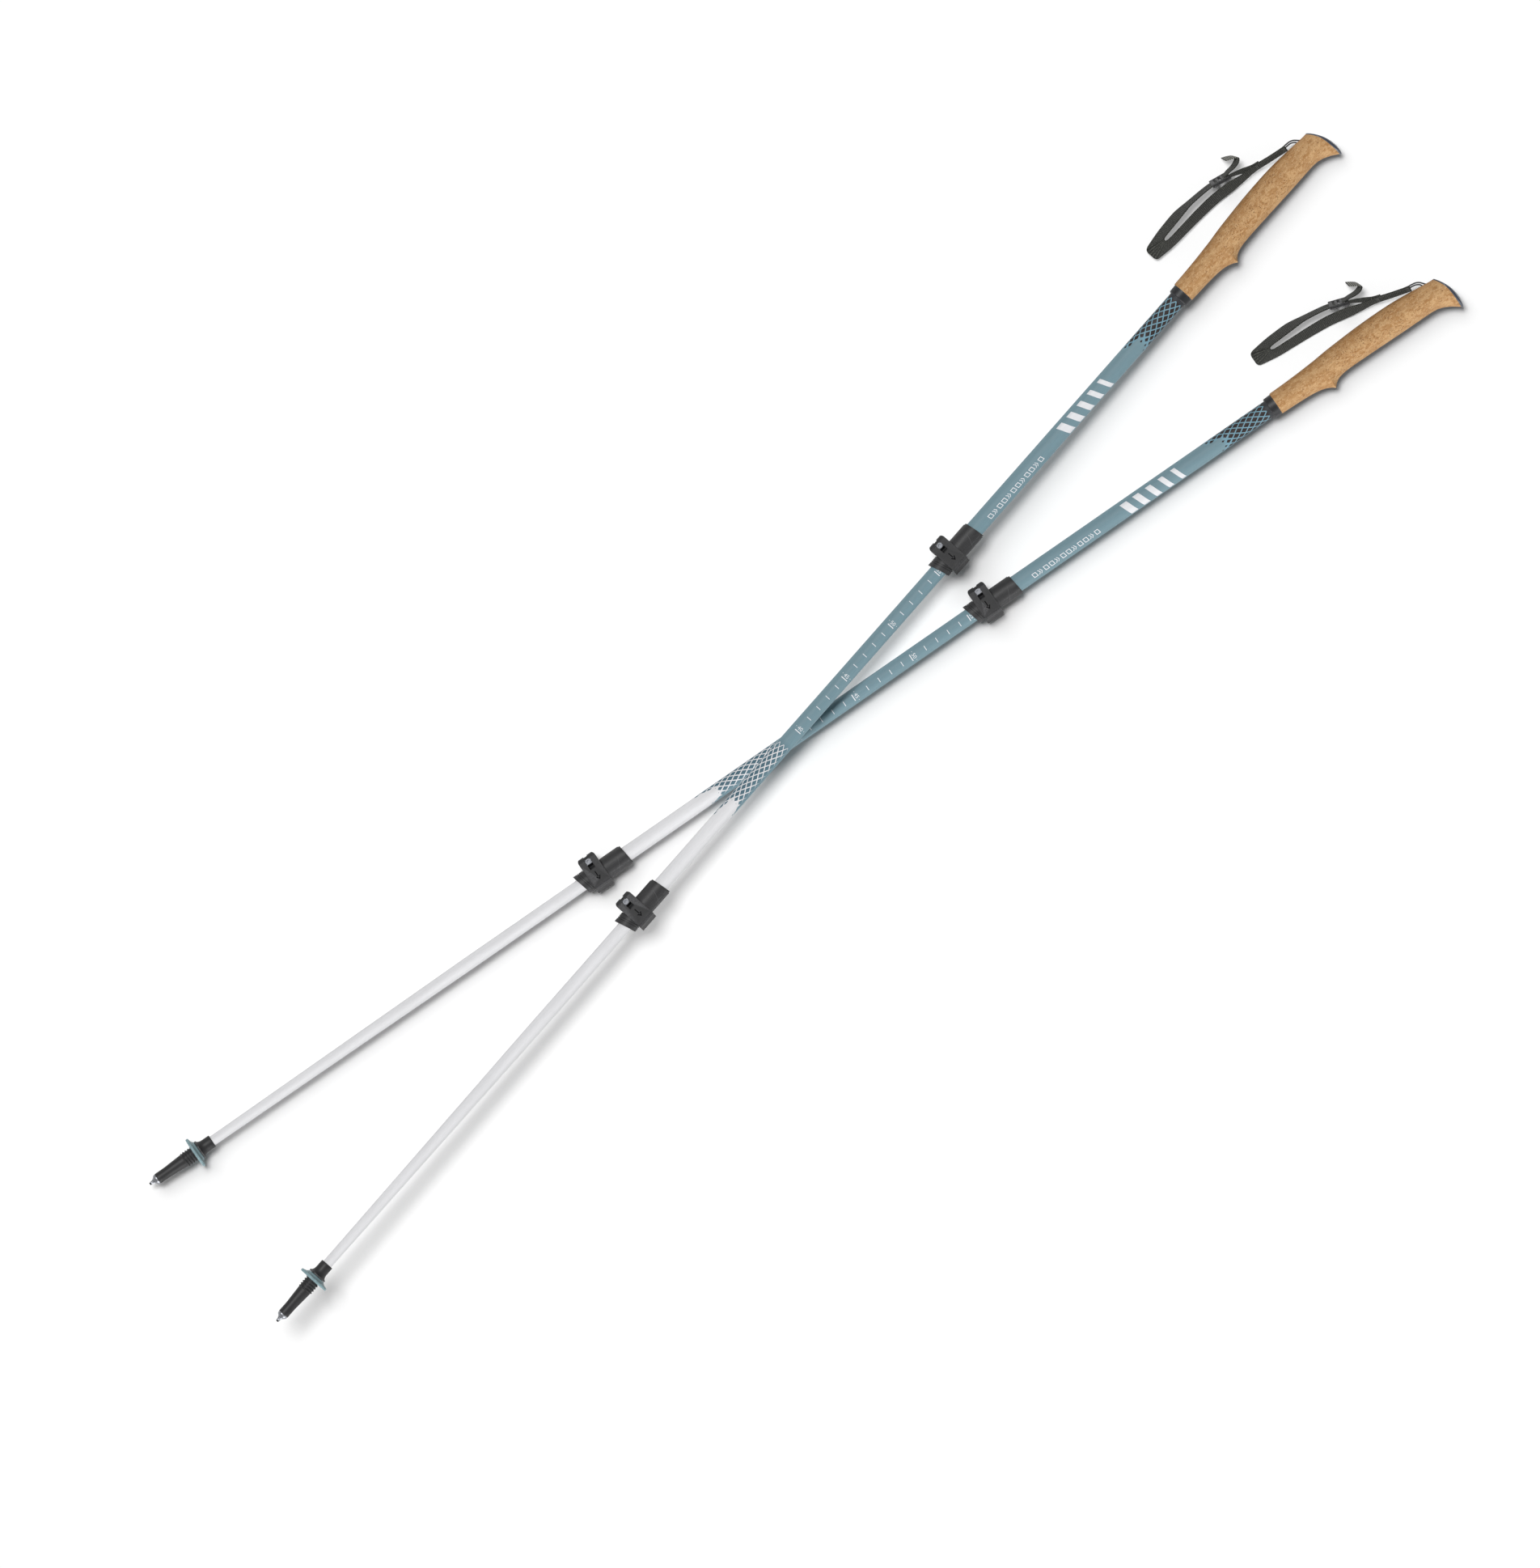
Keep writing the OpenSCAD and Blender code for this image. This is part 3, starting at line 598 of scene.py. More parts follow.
def webbing(pole):
    """Charcoal yarns with paler flecks, following the strip's own across and along distances."""
    shader = Shader("webbing", pole)
    across, along, kind = shader.split(shader.attribute("strip", "Vector"))
    flat = shader.combine(across, along, kind)
    yarn = shader.math("SINE", across * (2 * pi / RIB_PITCH))
    pick = shader.math("SINE", along * (2 * pi / RIB_PITCH) + yarn * 1.2)
    over = (yarn * pick).smooth(-0.4, 0.7)
    fibre = shader.noise(1, 4, 0.7, (6, 1.5, 1), flat)
    speckle = shader.noise(1, 3, 0.7, (1.3, 1.3, 1), flat)
    stripe = shader.math("SINE", along * (2 * pi / TAIL_STRIPE_PITCH)).smooth(-0.2, 0.3)
    end = kind.above(TAIL_KIND - 1) * along.above(TAIL_STRIPES_FROM)
    colour = shader.layered(
        srgb(30, 31, 29),
        (over, srgb(56, 57, 53)),
        (over * speckle.smooth(0.52, 0.62), srgb(112, 112, 104)),
        (speckle.smooth(0.36, 0.48, 0.65, 0), srgb(20, 21, 20)),
        (fibre.smooth(0.55, 0.75, 0, 0.3), srgb(96, 96, 90)),
        (end * stripe * 0.8, srgb(150, 150, 142)))
    return shader.finish(colour, 0.88, over * 0.8 + fibre * 0.5, 0.14,
                         Specular_IOR_Level=0.15, Sheen_Weight=0.08, Sheen_Roughness=0.5)


def cord_fibre(pole, name, low, high):
    """Braided or twisted thread: crossing yarns with a dull sheen."""
    shader = Shader(name, pole)
    yarn = shader.noise(1, 4, 0.7, (3, 3, 3))
    colour = shader.mix(yarn.smooth(0.35, 0.65), low, high)
    return shader.finish(colour, 0.7, yarn, 0.06, Sheen_Weight=0.3)


# ---------- grip ----------

# Distances of the cork's back and front from the tube's axis, and the share of its half-width, up the grip
GRIP_BACK = ((0, -10.7), (27, -11.3), (49, -12.5), (63, -13.8), (81, -14.8), (98, -15.5), (117, -15.7),
             (135, -15.3), (153, -13.8), (171, -12), (190, -10.6))
GRIP_FRONT = ((0, 10.2), (27, 10.6), (60, 10.9), (90, 11.2), (130, 11.8), (160, 12), (190, 12.4))
GRIP_SHARE = ((0, 0.73), (30, 0.79), (60, 0.88), (90, 0.965), (117, 1), (140, 0.99), (165, 0.94),
              (190, 0.86))
GRIP_HALF, GRIP_SIDES = 14.3, 144
LIP_AT, LIP_HEIGHT = 52.1, 7.9
BEAK_FROM, BEAK_BEND = 160, 0.0185
RIM_MIDDLE, RIM_LEAN, RIM_DROOP = 184, 3.45, 2.4
CROWN_TOP, CROWN_AT, CROWN_BEND, CROWN_MIDDLE = 187.6, 15, 0.0128, 5
CAP_THICK, CAP_GAP = 1.3, 0.05
CORE_R, CORE_TOP = 8.93, 173
CORD_SLOT_R, CORD_SLOT_HALF = 6.4, 1.9


def grip_wall(s, a):
    """A point of the grip's side, at a distance up the grip and an angle from the front."""
    back, front = curve(GRIP_BACK, s), curve(GRIP_FRONT, s)
    lip = LIP_HEIGHT * exp((s - LIP_AT) / 9 if s < LIP_AT else (LIP_AT - s) / 5.5)
    beak = BEAK_BEND * max(0, s - BEAK_FROM) ** 2
    ahead = max(0, cos(a))
    f = (front + back) / 2 + (front - back) / 2 * cos(a) + lip * ahead ** 3 + beak * ahead ** 1.6
    return (s, -f, GRIP_HALF * curve(GRIP_SHARE, s) * sin(a))


def grip_rim(a):
    return RIM_MIDDLE + RIM_LEAN * cos(a) - RIM_DROOP * cos(a) ** 2


def grip_dome(q, a, drop):
    """A point of the domed top: q is 1 at the rim and 0 in the middle, drop lowers the surface."""
    edge = grip_wall(grip_rim(a) - drop, a)
    f = CROWN_MIDDLE + q * (-edge[1] - CROWN_MIDDLE)
    rise = CROWN_TOP - CROWN_BEND * (f - CROWN_AT) ** 2 - grip_rim(a)
    return (grip_rim(a) - drop + rise * sqrt(max(0, 1 - q ** 6)), -f, q * edge[2])


def domes(shares, drop, grip_at):
    """Rings over the domed top, from the rim inwards or back out again."""
    return [shifted([grip_dome(q, a, drop) for a in around(GRIP_SIDES)], grip_at) for q in shares]


def shifted(ring, by):
    return [(p[0] + by, p[1], p[2]) for p in ring]


def cork_shape(grip_at):
    """The outer skin from the collar to the top, and the bore that the core fills."""
    angles = around(GRIP_SIDES)
    bore_ring = [(0, CORE_R * -cos(a), CORE_R * sin(a)) for a in angles]
    drop = CAP_THICK + CAP_GAP
    even = [0, 0.35, 0.9] + [i * 1.6 for i in range(1, 97)]
    stations = sorted(set(even + [LIP_AT + i * 0.45 for i in range(-8, 9)]))
    rings = [bore_ring]
    for s in stations:
        shrink = 1 - 0.35 * max(0, 1 - s / 0.9) ** 2 / 12
        rings.append([(p[0], p[1] * shrink, p[2] * shrink) for p in [grip_wall(s, a) for a in angles]])
    start = stations[-1]
    for t in (0.2, 0.4, 0.6, 0.8, 1):
        rings.append([grip_wall(start + t * (grip_rim(a) - drop - start), a) for a in angles])
    outer = [shifted(ring, grip_at) for ring in rings]
    top = (0.998, 0.99, 0.975, 0.95, 0.92, 0.88, 0.83, 0.76, 0.66, 0.54, 0.4, 0.25, 0.1)
    outer += domes(top, drop, grip_at)
    bore = [shifted(bore_ring, s + grip_at) for s in (0, 60, 120, CORE_TOP)]
    return joined(loft(outer, close_start=False), loft(bore, close_start=False))


def cap_piece(pole, grip_at, material):
    """The cap: a closed shell with a raised, rounded edge; an attribute marks the pale line."""
    angles = around(GRIP_SIDES)
    inside = domes((0.1, 0.3, 0.5, 0.7, 0.85, 0.94, 0.985, 0.998), CAP_THICK, grip_at)
    edge = []
    for t, out in ((1, 0), (0.86, 0.12), (0.6, 0.2), (0.3, 0.2), (0.08, 0.12), (0, 0.02)):
        wall = [(grip_wall(grip_rim(a) - t * CAP_THICK, a), a) for a in angles]
        ring = [(p[0], p[1] - out * cos(a), p[2] + out * sin(a)) for p, a in wall]
        edge.append(shifted(ring, grip_at))
    top = (0.998, 0.992, 0.98, 0.965, 0.945, 0.92, 0.89, 0.85, 0.8, 0.72, 0.62, 0.5, 0.36, 0.2, 0.08)
    rings = inside + edge + domes(top, 0, grip_at)
    marks = [0] * len(inside + edge) + [1 if 0.84 < q < 0.95 else 0 for q in top]
    obj = piece(pole, "cap_shell", loft(rings), material, "handle", ["grip_cap"], 50)
    layer = obj.data.attributes.new("inlay", "FLOAT", "POINT")
    where = {tuple(np.round(pole.matrix @ Vector(p), 7)): mark
             for ring, mark in zip(rings, marks) for p in ring}
    for i, v in enumerate(obj.data.vertices):
        layer.data[i].value = where.get(tuple(np.round(np.array(v.co), 7)), 0)


def cut(mesh, cutter):
    """mesh minus a closed shape, both in the row frame."""
    base, tool = add_object("cut_base", mesh), add_object("cut_tool", cutter)
    modifier = base.modifiers.new("cut", "BOOLEAN")
    modifier.operation = "DIFFERENCE"
    modifier.solver = "EXACT"
    modifier.object = tool
    evaluated = base.evaluated_get(bpy.context.evaluated_depsgraph_get())
    result = bpy.data.meshes.new_from_object(evaluated)
    for obj in (tool, base):
        bpy.data.objects.remove(obj)
    return result


def disc(centre, r, half):
    """A short cylinder across the pole, along z."""
    ring = [(centre[0] + r * cos(a), centre[1] + r * sin(a)) for a in around(48)]
    return loft([[(x, y, z) for x, y in ring] for z in (-half, half)])


def grip(pole, grip_at, materials):
    """The cork with the slot that the cord passes through, and the cap on top."""
    body = pole.mesh("cork", cork_shape(grip_at))
    slot = pole.mesh("slot", disc(pole.middle("strap_pin"), CORD_SLOT_R, CORD_SLOT_HALF))
    for mesh in (body, slot):
        finish_mesh(mesh, 35)
    mesh = cut(body, slot)
    shade(mesh, 35)
    place(pole, "cork_body", mesh, materials["cork"], "handle", ["cork_grip"])
    cap_piece(pole, grip_at, materials["cap"])


# ---------- strap ----------

# Each station is a strip's low edge and high edge: distance up the grip, offset to the strap side, height
BAND = (
    (156.6, 14.4, -7.2, 156.6, 19, 6.8), (140, 19, -8.2, 140, 23.7, 6.2), (124, 23.6, -9.5, 124, 28.6, 5.5),
    (112, 25.2, -11.5, 112, 30.9, 5), (99, 27, -13, 99, 35.1, 5), (81, 30.1, -13.6, 81, 38.7, 4.5),
    (63, 31.9, -13.8, 63, 40.2, 4.2), (45, 33.1, -13.8, 45, 40.8, 4), (27, 34.2, -13.8, 29, 41.3, 3.5),
    (13, 36.3, -13.8, 25.5, 41.8, 3), (8.6, 37.2, -13.8, 24.6, 42.1, 3), (7, 38.9, -13.8, 24.2, 42.5, 3),
    (6.8, 43.2, -13.8, 24, 42.9, 3), (7, 47.6, -13.8, 24.2, 43.3, 3), (8.8, 49.4, -13.8, 24.6, 43.7, 3),
    (13.5, 50.3, -13.8, 25.5, 43.9, 3), (27, 51.9, -13.8, 29, 44.2, 3.5), (45, 52.6, -13.8, 45, 44.8, 4),
    (54, 51.8, -13.2, 54, 45.2, 4.5), (63, 50.2, -10.5, 63, 45.4, 5), (76, 48.2, -8.5, 76, 43.9, 6),
    (86.6, 46.2, -8, 86.6, 42, 6.5), (93.5, 43.9, -8, 93.5, 39.8, 6.5),
)
SHORT_STRAND = (
    (131, 22.8, -8.6, 131, 27.7, 5.8), (124.5, 25, -8.4, 124.5, 29.8, 5.6), (117, 29.6, -8, 117, 33.8, 6),
    (106.6, 36, -8, 106.6, 38.4, 6.5), (99.5, 39.4, -8, 99.5, 39.6, 6.5),
)
TAIL = (
    (99.5, 42.2, -8, 99.5, 39.6, 6.5), (106.8, 42.4, -8, 106.8, 39, 6.5), (113, 42.2, -8.2, 113, 38.2, 6.2),
    (118, 43.2, -8.6, 118.4, 38.8, 5.8), (121, 45.6, -9, 122, 41.2, 5.4), (120, 48.6, -9.4, 121, 44.2, 5),
    (116.6, 51.6, -9.8, 117, 46.6, 4.6), (112.4, 54.2, -9.8, 112.8, 49.2, 4.6),
)
BAND_THICK, STRAND_THICK, STRIP_STEP = 1.3, 1.1, 0.45
BAND_KIND, STRAND_KIND = 0, 3


def strip(stations, thickness, grip_at, kind):
    """A woven strip with rounded edges and raised ribs, and each point's (across, along, kind)."""
    rows, gone = spaced(stations, STRIP_STEP)
    rows[:, 0] += grip_at
    rows[:, 3] += grip_at
    low, high = rows[:, :3], rows[:, 3:]
    normal = np.cross(high - low, np.gradient(low + high, axis=0))
    normal /= np.linalg.norm(normal, axis=1)[:, None]
    width = np.linalg.norm(high - low, axis=1)
    count = max(8, int(width.max() / 0.42))
    # Closer together towards both edges, where the strip is rounded
    shares = (1 - np.cos(np.linspace(0, pi, count))) / 2 * 0.16 + np.linspace(0, 1, count) * 0.84
    rings, marks = [], []
    for i in range(len(rows)):
        ring = []
        for face, order in ((1, shares[:-1]), (-1, shares[:0:-1])):
            for share in order:
                x = share * width[i]
                from_edge = min(x, width[i] - x)
                fullness = sqrt(max(0, 1 - (1 - min(1, from_edge / 0.6)) ** 2))
                rib = cos(2 * pi * x / RIB_PITCH) * cos(2 * pi * gone[i] / RIB_PITCH)
                out = (thickness / 2 - RIB_DEPTH) * (0.25 + 0.75 * fullness) + RIB_DEPTH * rib * fullness
                centre = low[i] + (high[i] - low[i]) * share + normal[i] * thickness / 2
                ring.append(centre + normal[i] * out * face)
                marks.append((x, gone[i], kind))
        rings.append(ring)
    ends = [marks[0], marks[-len(rings[-1])]]
    return loft(rings), marks + ends


def woven(pole, name, strips, material, stands_for):
    """One piece made of strips, with their distances stored for the weave."""
    mesh = pole.mesh(f"{pole.side}_{name}", joined(*[shape for shape, _ in strips]))
    layer = mesh.attributes.new("strip", "FLOAT_VECTOR", "POINT")
    marks = [mark for _, marks in strips for mark in marks]
    layer.data.foreach_set("vector", np.array(marks, np.float32).ravel())
    finish_mesh(mesh, 60, weld=False)
    place(pole, name, mesh, material, "strap", stands_for)


def rod(path, r, sides=10, bulge=None):
    """A round rod along a path, with ends closed. bulge(i, k) adds to the radius."""
    path = np.array(path, float)
    heading = np.gradient(path, axis=0)
    heading /= np.linalg.norm(heading, axis=1)[:, None]
    side = np.cross(heading[0], (0.13, 0.21, 0.97))
    rings = []
    for i, p in enumerate(path):
        side = side - heading[i] * side.dot(heading[i])
        side /= np.linalg.norm(side)
        other = np.cross(heading[i], side)
        ring = []
        for k, a in enumerate(around(sides)):
            radius = r + (bulge(i, k) if bulge else 0)
            ring.append(p + radius * (side * cos(a) + other * sin(a)))
        rings.append(ring)
    return loft(rings)


CORD_R, CORD_TURN, CORD_LEG_GAP = 0.75, 2.1, 1
CORD_LEG = ((6, 240), (8.6, 236), (11.5, 228), (14.6, 219), (17.3, 213), (21.2, 209))
BRAID_DEPTH, BRAID_TURN, BRAID_YARNS = 0.07, 2.9, 6


def cord_path(pin):
    """Round the pin and out again, the two legs side by side, as (s, y, z)."""
    def at(r, degrees, aside=0):
        a = radians(degrees)
        return (pin[0] + r * cos(a) - aside * sin(a),
                pin[1] - r * sin(a) - aside * cos(a), 0)
    out = [at(r, a, -CORD_LEG_GAP) for r, a in reversed(CORD_LEG)]
    turn = [at(CORD_TURN, 178 - 20 * i) for i in range(13)]
    home = [at(r, a, CORD_LEG_GAP) for r, a in CORD_LEG]
    return out + turn + home


def braided_cord(pole, material):
    rows, gone = spaced(cord_path(pole.middle("strap_pin")), 0.16)

    def braid(i, k):
        along, across = gone[i] * BRAID_TURN, k * 2 * pi / BRAID_YARNS
        return BRAID_DEPTH * cos(along + across) * cos(along - across)
    shape = rod(rows, CORD_R - 0.06, 12, braid)
    piece(pole, "braided_cord", shape, material, "strap", ["strap_cord"], 80)


def seam(stations, thickness, grip_at, start, end, count):
    """Stitches on both faces of a strip, between two places given as (along, share of the width)."""
    rows, gone = spaced(stations, STRIP_STEP)
    shapes = []
    for n in range(count):
        t = n / (count - 1)
        along, share = (a + (b - a) * t for a, b in zip(start, end))
        i = min(max(int(np.searchsorted(gone, along)), 1), len(rows) - 2)
        low, high = rows[i, :3], rows[i, 3:]
        heading = (rows[i + 1] - rows[i - 1])[:3] + (rows[i + 1] - rows[i - 1])[3:]
        heading /= np.linalg.norm(heading)
        normal = np.cross(high - low, heading)
        normal /= np.linalg.norm(normal)
        run = (high - low) / np.linalg.norm(high - low) if start[0] == end[0] else heading
        base = low + (high - low) * share + np.array((grip_at, 0, 0))
        for face in (1, -1):
            centre = base + normal * (thickness / 2 + face * (thickness / 2 + 0.02))
            bend = [centre + run * x + normal * face * (0.12 * (1 - (x / 0.8) ** 2) - 0.1)
                    for x in (-0.8, -0.5, -0.2, 0.2, 0.5, 0.8)]
            shapes.append(rod(bend, 0.17, 6))
    return shapes


def stitches(pole, grip_at, material):
    """Thread where the band is sewn: runs along its neck, bars across it, and runs at its other end."""
    length = spaced(BAND, STRIP_STEP)[1][-1]
    seams = [((2, share), (30, share), 13) for share in (0.14, 0.86)]
    seams += [((at, 0.16), (at, 0.84), 6) for at in (2, 3.4, 30, 31.4)]
    seams += [((length - 16, share), (length - 4, share), 6) for share in (0.16, 0.84)]
    shapes = [shape for ends in seams for shape in seam(BAND, BAND_THICK, grip_at, *ends)]
    piece(pole, "strap_stitches", joined(*shapes), material, "strap", sharp=80)


def rounded_bar(x0, x1, y0, y1, half, r):
    """A box with rounded edges all round, from x0 to x1 and y0 to y1, as rings stacked in z."""
    steps = 4
    corners = ((x1 - r, y1 - r, 0), (x0 + r, y1 - r, 90), (x0 + r, y0 + r, 180), (x1 - r, y0 + r, 270))
    rings = []
    for k in range(-steps, steps + 1):
        a = k / steps * pi / 2
        z = copysign(half - r, k) + r * sin(a) if k else 0
        left = r * cos(a)
        turns = [(x, y, radians(start + 22.5 * n)) for x, y, start in corners for n in range(5)]
        rings.append([(x + left * cos(b), y + left * sin(b), z) for x, y, b in turns])
    return loft(rings)


BUCKLE_LEN, BUCKLE_W, BUCKLE_HALF, BUCKLE_RAIL = 18, 19, 1.6, 1.9


def buckle(pole, material):
    """A ladder-lock buckle: two side rails, four bars, and fine ribs on the thumb end."""
    centre = Vector(pole.middle("strap_buckle"))
    lean = Matrix.Rotation(radians(-19), 4, "Z") @ Matrix.Rotation(radians(106), 4, "X")
    half_l, half_w = BUCKLE_LEN / 2, BUCKLE_W / 2
    parts = [rounded_bar(-half_l, half_l, y, y + BUCKLE_RAIL, BUCKLE_HALF, 0.6)
             for y in (-half_w, half_w - BUCKLE_RAIL)]
    for x0, x1 in ((-half_l, -5.5), (-3.5, -1), (1, 3.5), (5.5, half_l)):
        parts.append(rounded_bar(x0, x1, -half_w + 1, half_w - 1, BUCKLE_HALF * 0.9, 0.55))
    for n in range(4):
        x = half_l - 2.6 + n * 0.65
        parts.append(rounded_bar(x - 0.16, x + 0.16, -half_w + 3, half_w - 3, BUCKLE_HALF * 0.99, 0.14))
    points, faces = joined(*parts)
    moved = [tuple(centre + (lean @ Vector(p))) for p in points]
    piece(pole, "ladder_buckle", (moved, faces), material, "strap",
          ["strap_buckle"], 50)


def strap(pole, grip_at, materials):
    band = strip(BAND, BAND_THICK, grip_at, BAND_KIND)
    strands = [strip(SHORT_STRAND, STRAND_THICK, grip_at, STRAND_KIND),
               strip(TAIL, STRAND_THICK, grip_at, TAIL_KIND)]
    woven(pole, "wrist_band", [band], materials["webbing"], ["strap_band"])
    woven(pole, "adjuster_webbing", strands, materials["webbing"], ["strap_adjuster"])
    braided_cord(pole, materials["cord"])
    stitches(pole, grip_at, materials["thread"])
    buckle(pole, materials["buckle"])


# ---------- printed marks ----------

INK_THICK, INK_LIFT, BEND_STEP = 0.035, 0.03, 0.7


def wrapped(pole, drawing, r):
    """Flat meshes in (distance along, arc length round from the lever side), wrapped on a tube."""
    bm = bmesh.new()
    for mesh in drawing:
        bm.from_mesh(mesh)
    low = min(v.co.y for v in bm.verts)
    high = max(v.co.y for v in bm.verts)
    at = ceil(low / BEND_STEP) * BEND_STEP
    while at < high:
        everything = bm.verts[:] + bm.edges[:] + bm.faces[:]
        bmesh.ops.bisect_plane(bm, geom=everything, plane_co=(0, at, 0), plane_no=(0, 1, 0), dist=1e-5)
        at += BEND_STEP
    bmesh.ops.recalc_face_normals(bm, faces=bm.faces)
    made = bmesh.ops.extrude_face_region(bm, geom=bm.faces[:])
    for v in (g for g in made["geom"] if isinstance(g, bmesh.types.BMVert)):
        v.co.z = INK_THICK
    for v in bm.verts:
        radius, a = r + INK_LIFT + v.co.z - INK_THICK, v.co.y / r
        v.co = pole.matrix @ Vector((v.co.x, -radius * sin(a), radius * cos(a)))
    bmesh.ops.recalc_face_normals(bm, faces=bm.faces)
    mesh = bpy.data.meshes.new("print")
    bm.to_mesh(mesh)
    bm.free()
    return mesh


def flat_mesh(polygons):
    points, faces = [], []
    for polygon in polygons:
        faces.append(tuple(range(len(points), len(points) + len(polygon))))
        points += [(x, y, 0) for x, y in polygon]
    mesh = bpy.data.meshes.new("flat")
    mesh.from_pydata(points, [], faces)
    return mesh


def slanted(x0, x1, y0, y1, slant=0):
    """A parallelogram whose upper side is moved along by slant."""
    return [(x0, y0), (x1, y0), (x1 + slant, y1), (x0 + slant, y1)]


def dot(x, y, r):
    return [(x + r * cos(a), y + r * sin(a)) for a in around(10)]


def digits(text, height, at_s, at_u):
    """Numerals in Blender's own font: their tops point to the grip, centred on at_s and at_u."""
    data = bpy.data.curves.new("numeral", "FONT")
    data.body = text
    data.size = height / 0.7
    data.align_x = "CENTER"
    data.resolution_u = 3
    obj = add_object("numeral", data)
    bpy.context.view_layer.update()
    evaluated = obj.evaluated_get(bpy.context.evaluated_depsgraph_get())
    mesh = bpy.data.meshes.new_from_object(evaluated)
    bpy.data.objects.remove(obj)
    for v in mesh.vertices:
        v.co = (at_s - height / 2 + v.co.y, at_u + v.co.x, 0)
    return mesh


SCALE_STEP, SCALE_END = 12.43, 2
NUMBERS = (40, 45, 50, 55)
NUMERAL_HEIGHT, NUMERAL_AT = 3.5, 0.6


def scale_marks(pole, ink):
    """A stroke for each unit of length, with a numeral, two dots and a bar at each fifth."""
    first = pole.low("upper_lock_body") + SCALE_END - SCALE_STEP * (NUMBERS[-1] - NUMBERS[0])
    polygons, numerals = [], []
    for unit in range(NUMBERS[0], NUMBERS[-1] + 1):
        s = first + (unit - NUMBERS[0]) * SCALE_STEP
        if unit in NUMBERS:
            numerals.append(digits(str(unit), NUMERAL_HEIGHT, s + NUMERAL_AT, 0.9))
            polygons += [dot(s + NUMERAL_AT, u, 0.34) for u in (-3.6, 5.4)]
            polygons.append(slanted(s - 3.1, s - 2.3, -2.4, 4.2))
        else:
            polygons.append(slanted(s - 0.3, s + 0.3, -1.5, 3.2))
    mesh = wrapped(pole, [flat_mesh(polygons)] + numerals, pole.high("middle_tube", 2))
    place(pole, "scale_marks", mesh, ink, "middle_section")


BAR_LINE, BAR_SLANT, BAR_HEIGHT = 0.62, 1, 4.6


def bar_outline(s, u, length):
    """A thin outlined parallelogram as four polygons."""
    grow = BAR_LINE * BAR_SLANT / BAR_HEIGHT
    x0, x1 = s + BAR_LINE, s + length - BAR_LINE
    low, high = u + BAR_LINE, u + BAR_HEIGHT - BAR_LINE
    outer = slanted(s, s + length, u, u + BAR_HEIGHT, BAR_SLANT)
    inner = [(x0 + grow, low), (x1 + grow * 0.2, low),
             (x1 + BAR_SLANT - grow, high), (x0 + BAR_SLANT - grow * 0.2, high)]
    return [[outer[i], outer[(i + 1) % 4], inner[(i + 1) % 4], inner[i]] for i in range(4)]


def tube_graphic(pole, ink):
    """A generic graphic: broad slanted bars, and a row of small outlined links and chevrons."""
    lock_top = pole.high("upper_lock_body")
    polygons = []
    for n in range(5):
        s = lock_top + 113.5 + n * 13.6
        polygons.append(slanted(s, s + 7.2 - 0.7 * n, -5.2, 9, 5.4))
    for n in range(12):
        s = lock_top + 14.5 + n * 6.1
        if n % 3 == 1:
            for at in (s, s + 2.1):
                polygons.append(slanted(at, at + 0.75, 0.9, 3.2, 1.65))
                polygons.append(slanted(at + 1.65, at + 2.4, 3.2, 5.5, -1.65))
        else:
            polygons += bar_outline(s, 0.9, 4.3)
    mesh = wrapped(pole, [flat_mesh(polygons)], pole.high("upper_tube", 2))
    place(pole, "tube_graphic", mesh, ink, "handle")


# ---------- tip ----------

THREAD_FROM, THREAD_TO, THREAD_PITCH, THREAD_STEPS = 36.6, 52.6, 2.6, 80
THREAD_ROOT, THREAD_CREST = 6.05, 6.9
NOSE_R, NOSE_TO, STEM_R, STEM_TO, TUBE_SOCKET_R = 4.95, 18.6, 2.53, 29.8, 4.53
FLANGE_AT, FLANGE_R, SLEEVE_R, SLEEVE_AT = 53.3, 8.55, 5.95, 60
SCALLOPS, SCALLOP_DEPTH = 12, 0.7
# Radius of the steel holder from the insert to the ferrule
STEEL_FLARE = ((1.2, 1.5), (2.1, 1.55), (3.2, 1.8), (4.5, 2.35), (5.3, 3.1), (6, 3.9), (6.8, 4.45),
               (7.5, 4.68), (8.3, 4.72))
FLUTES, FLUTE_DEPTH, FLUTE_STEPS = 6, 0.3, 24


def thread_radius(s, fade):
    """The radius of the helical thread at s, as a function of the angle."""
    def radius(a):
        turn = ((s - THREAD_FROM) / THREAD_PITCH - a / (2 * pi)) % 1
        rise = max(0, min(1, 1.9 - abs(turn - 0.5) * 6.2))
        return THREAD_ROOT + (THREAD_CREST - THREAD_ROOT) * rise * fade
    return radius


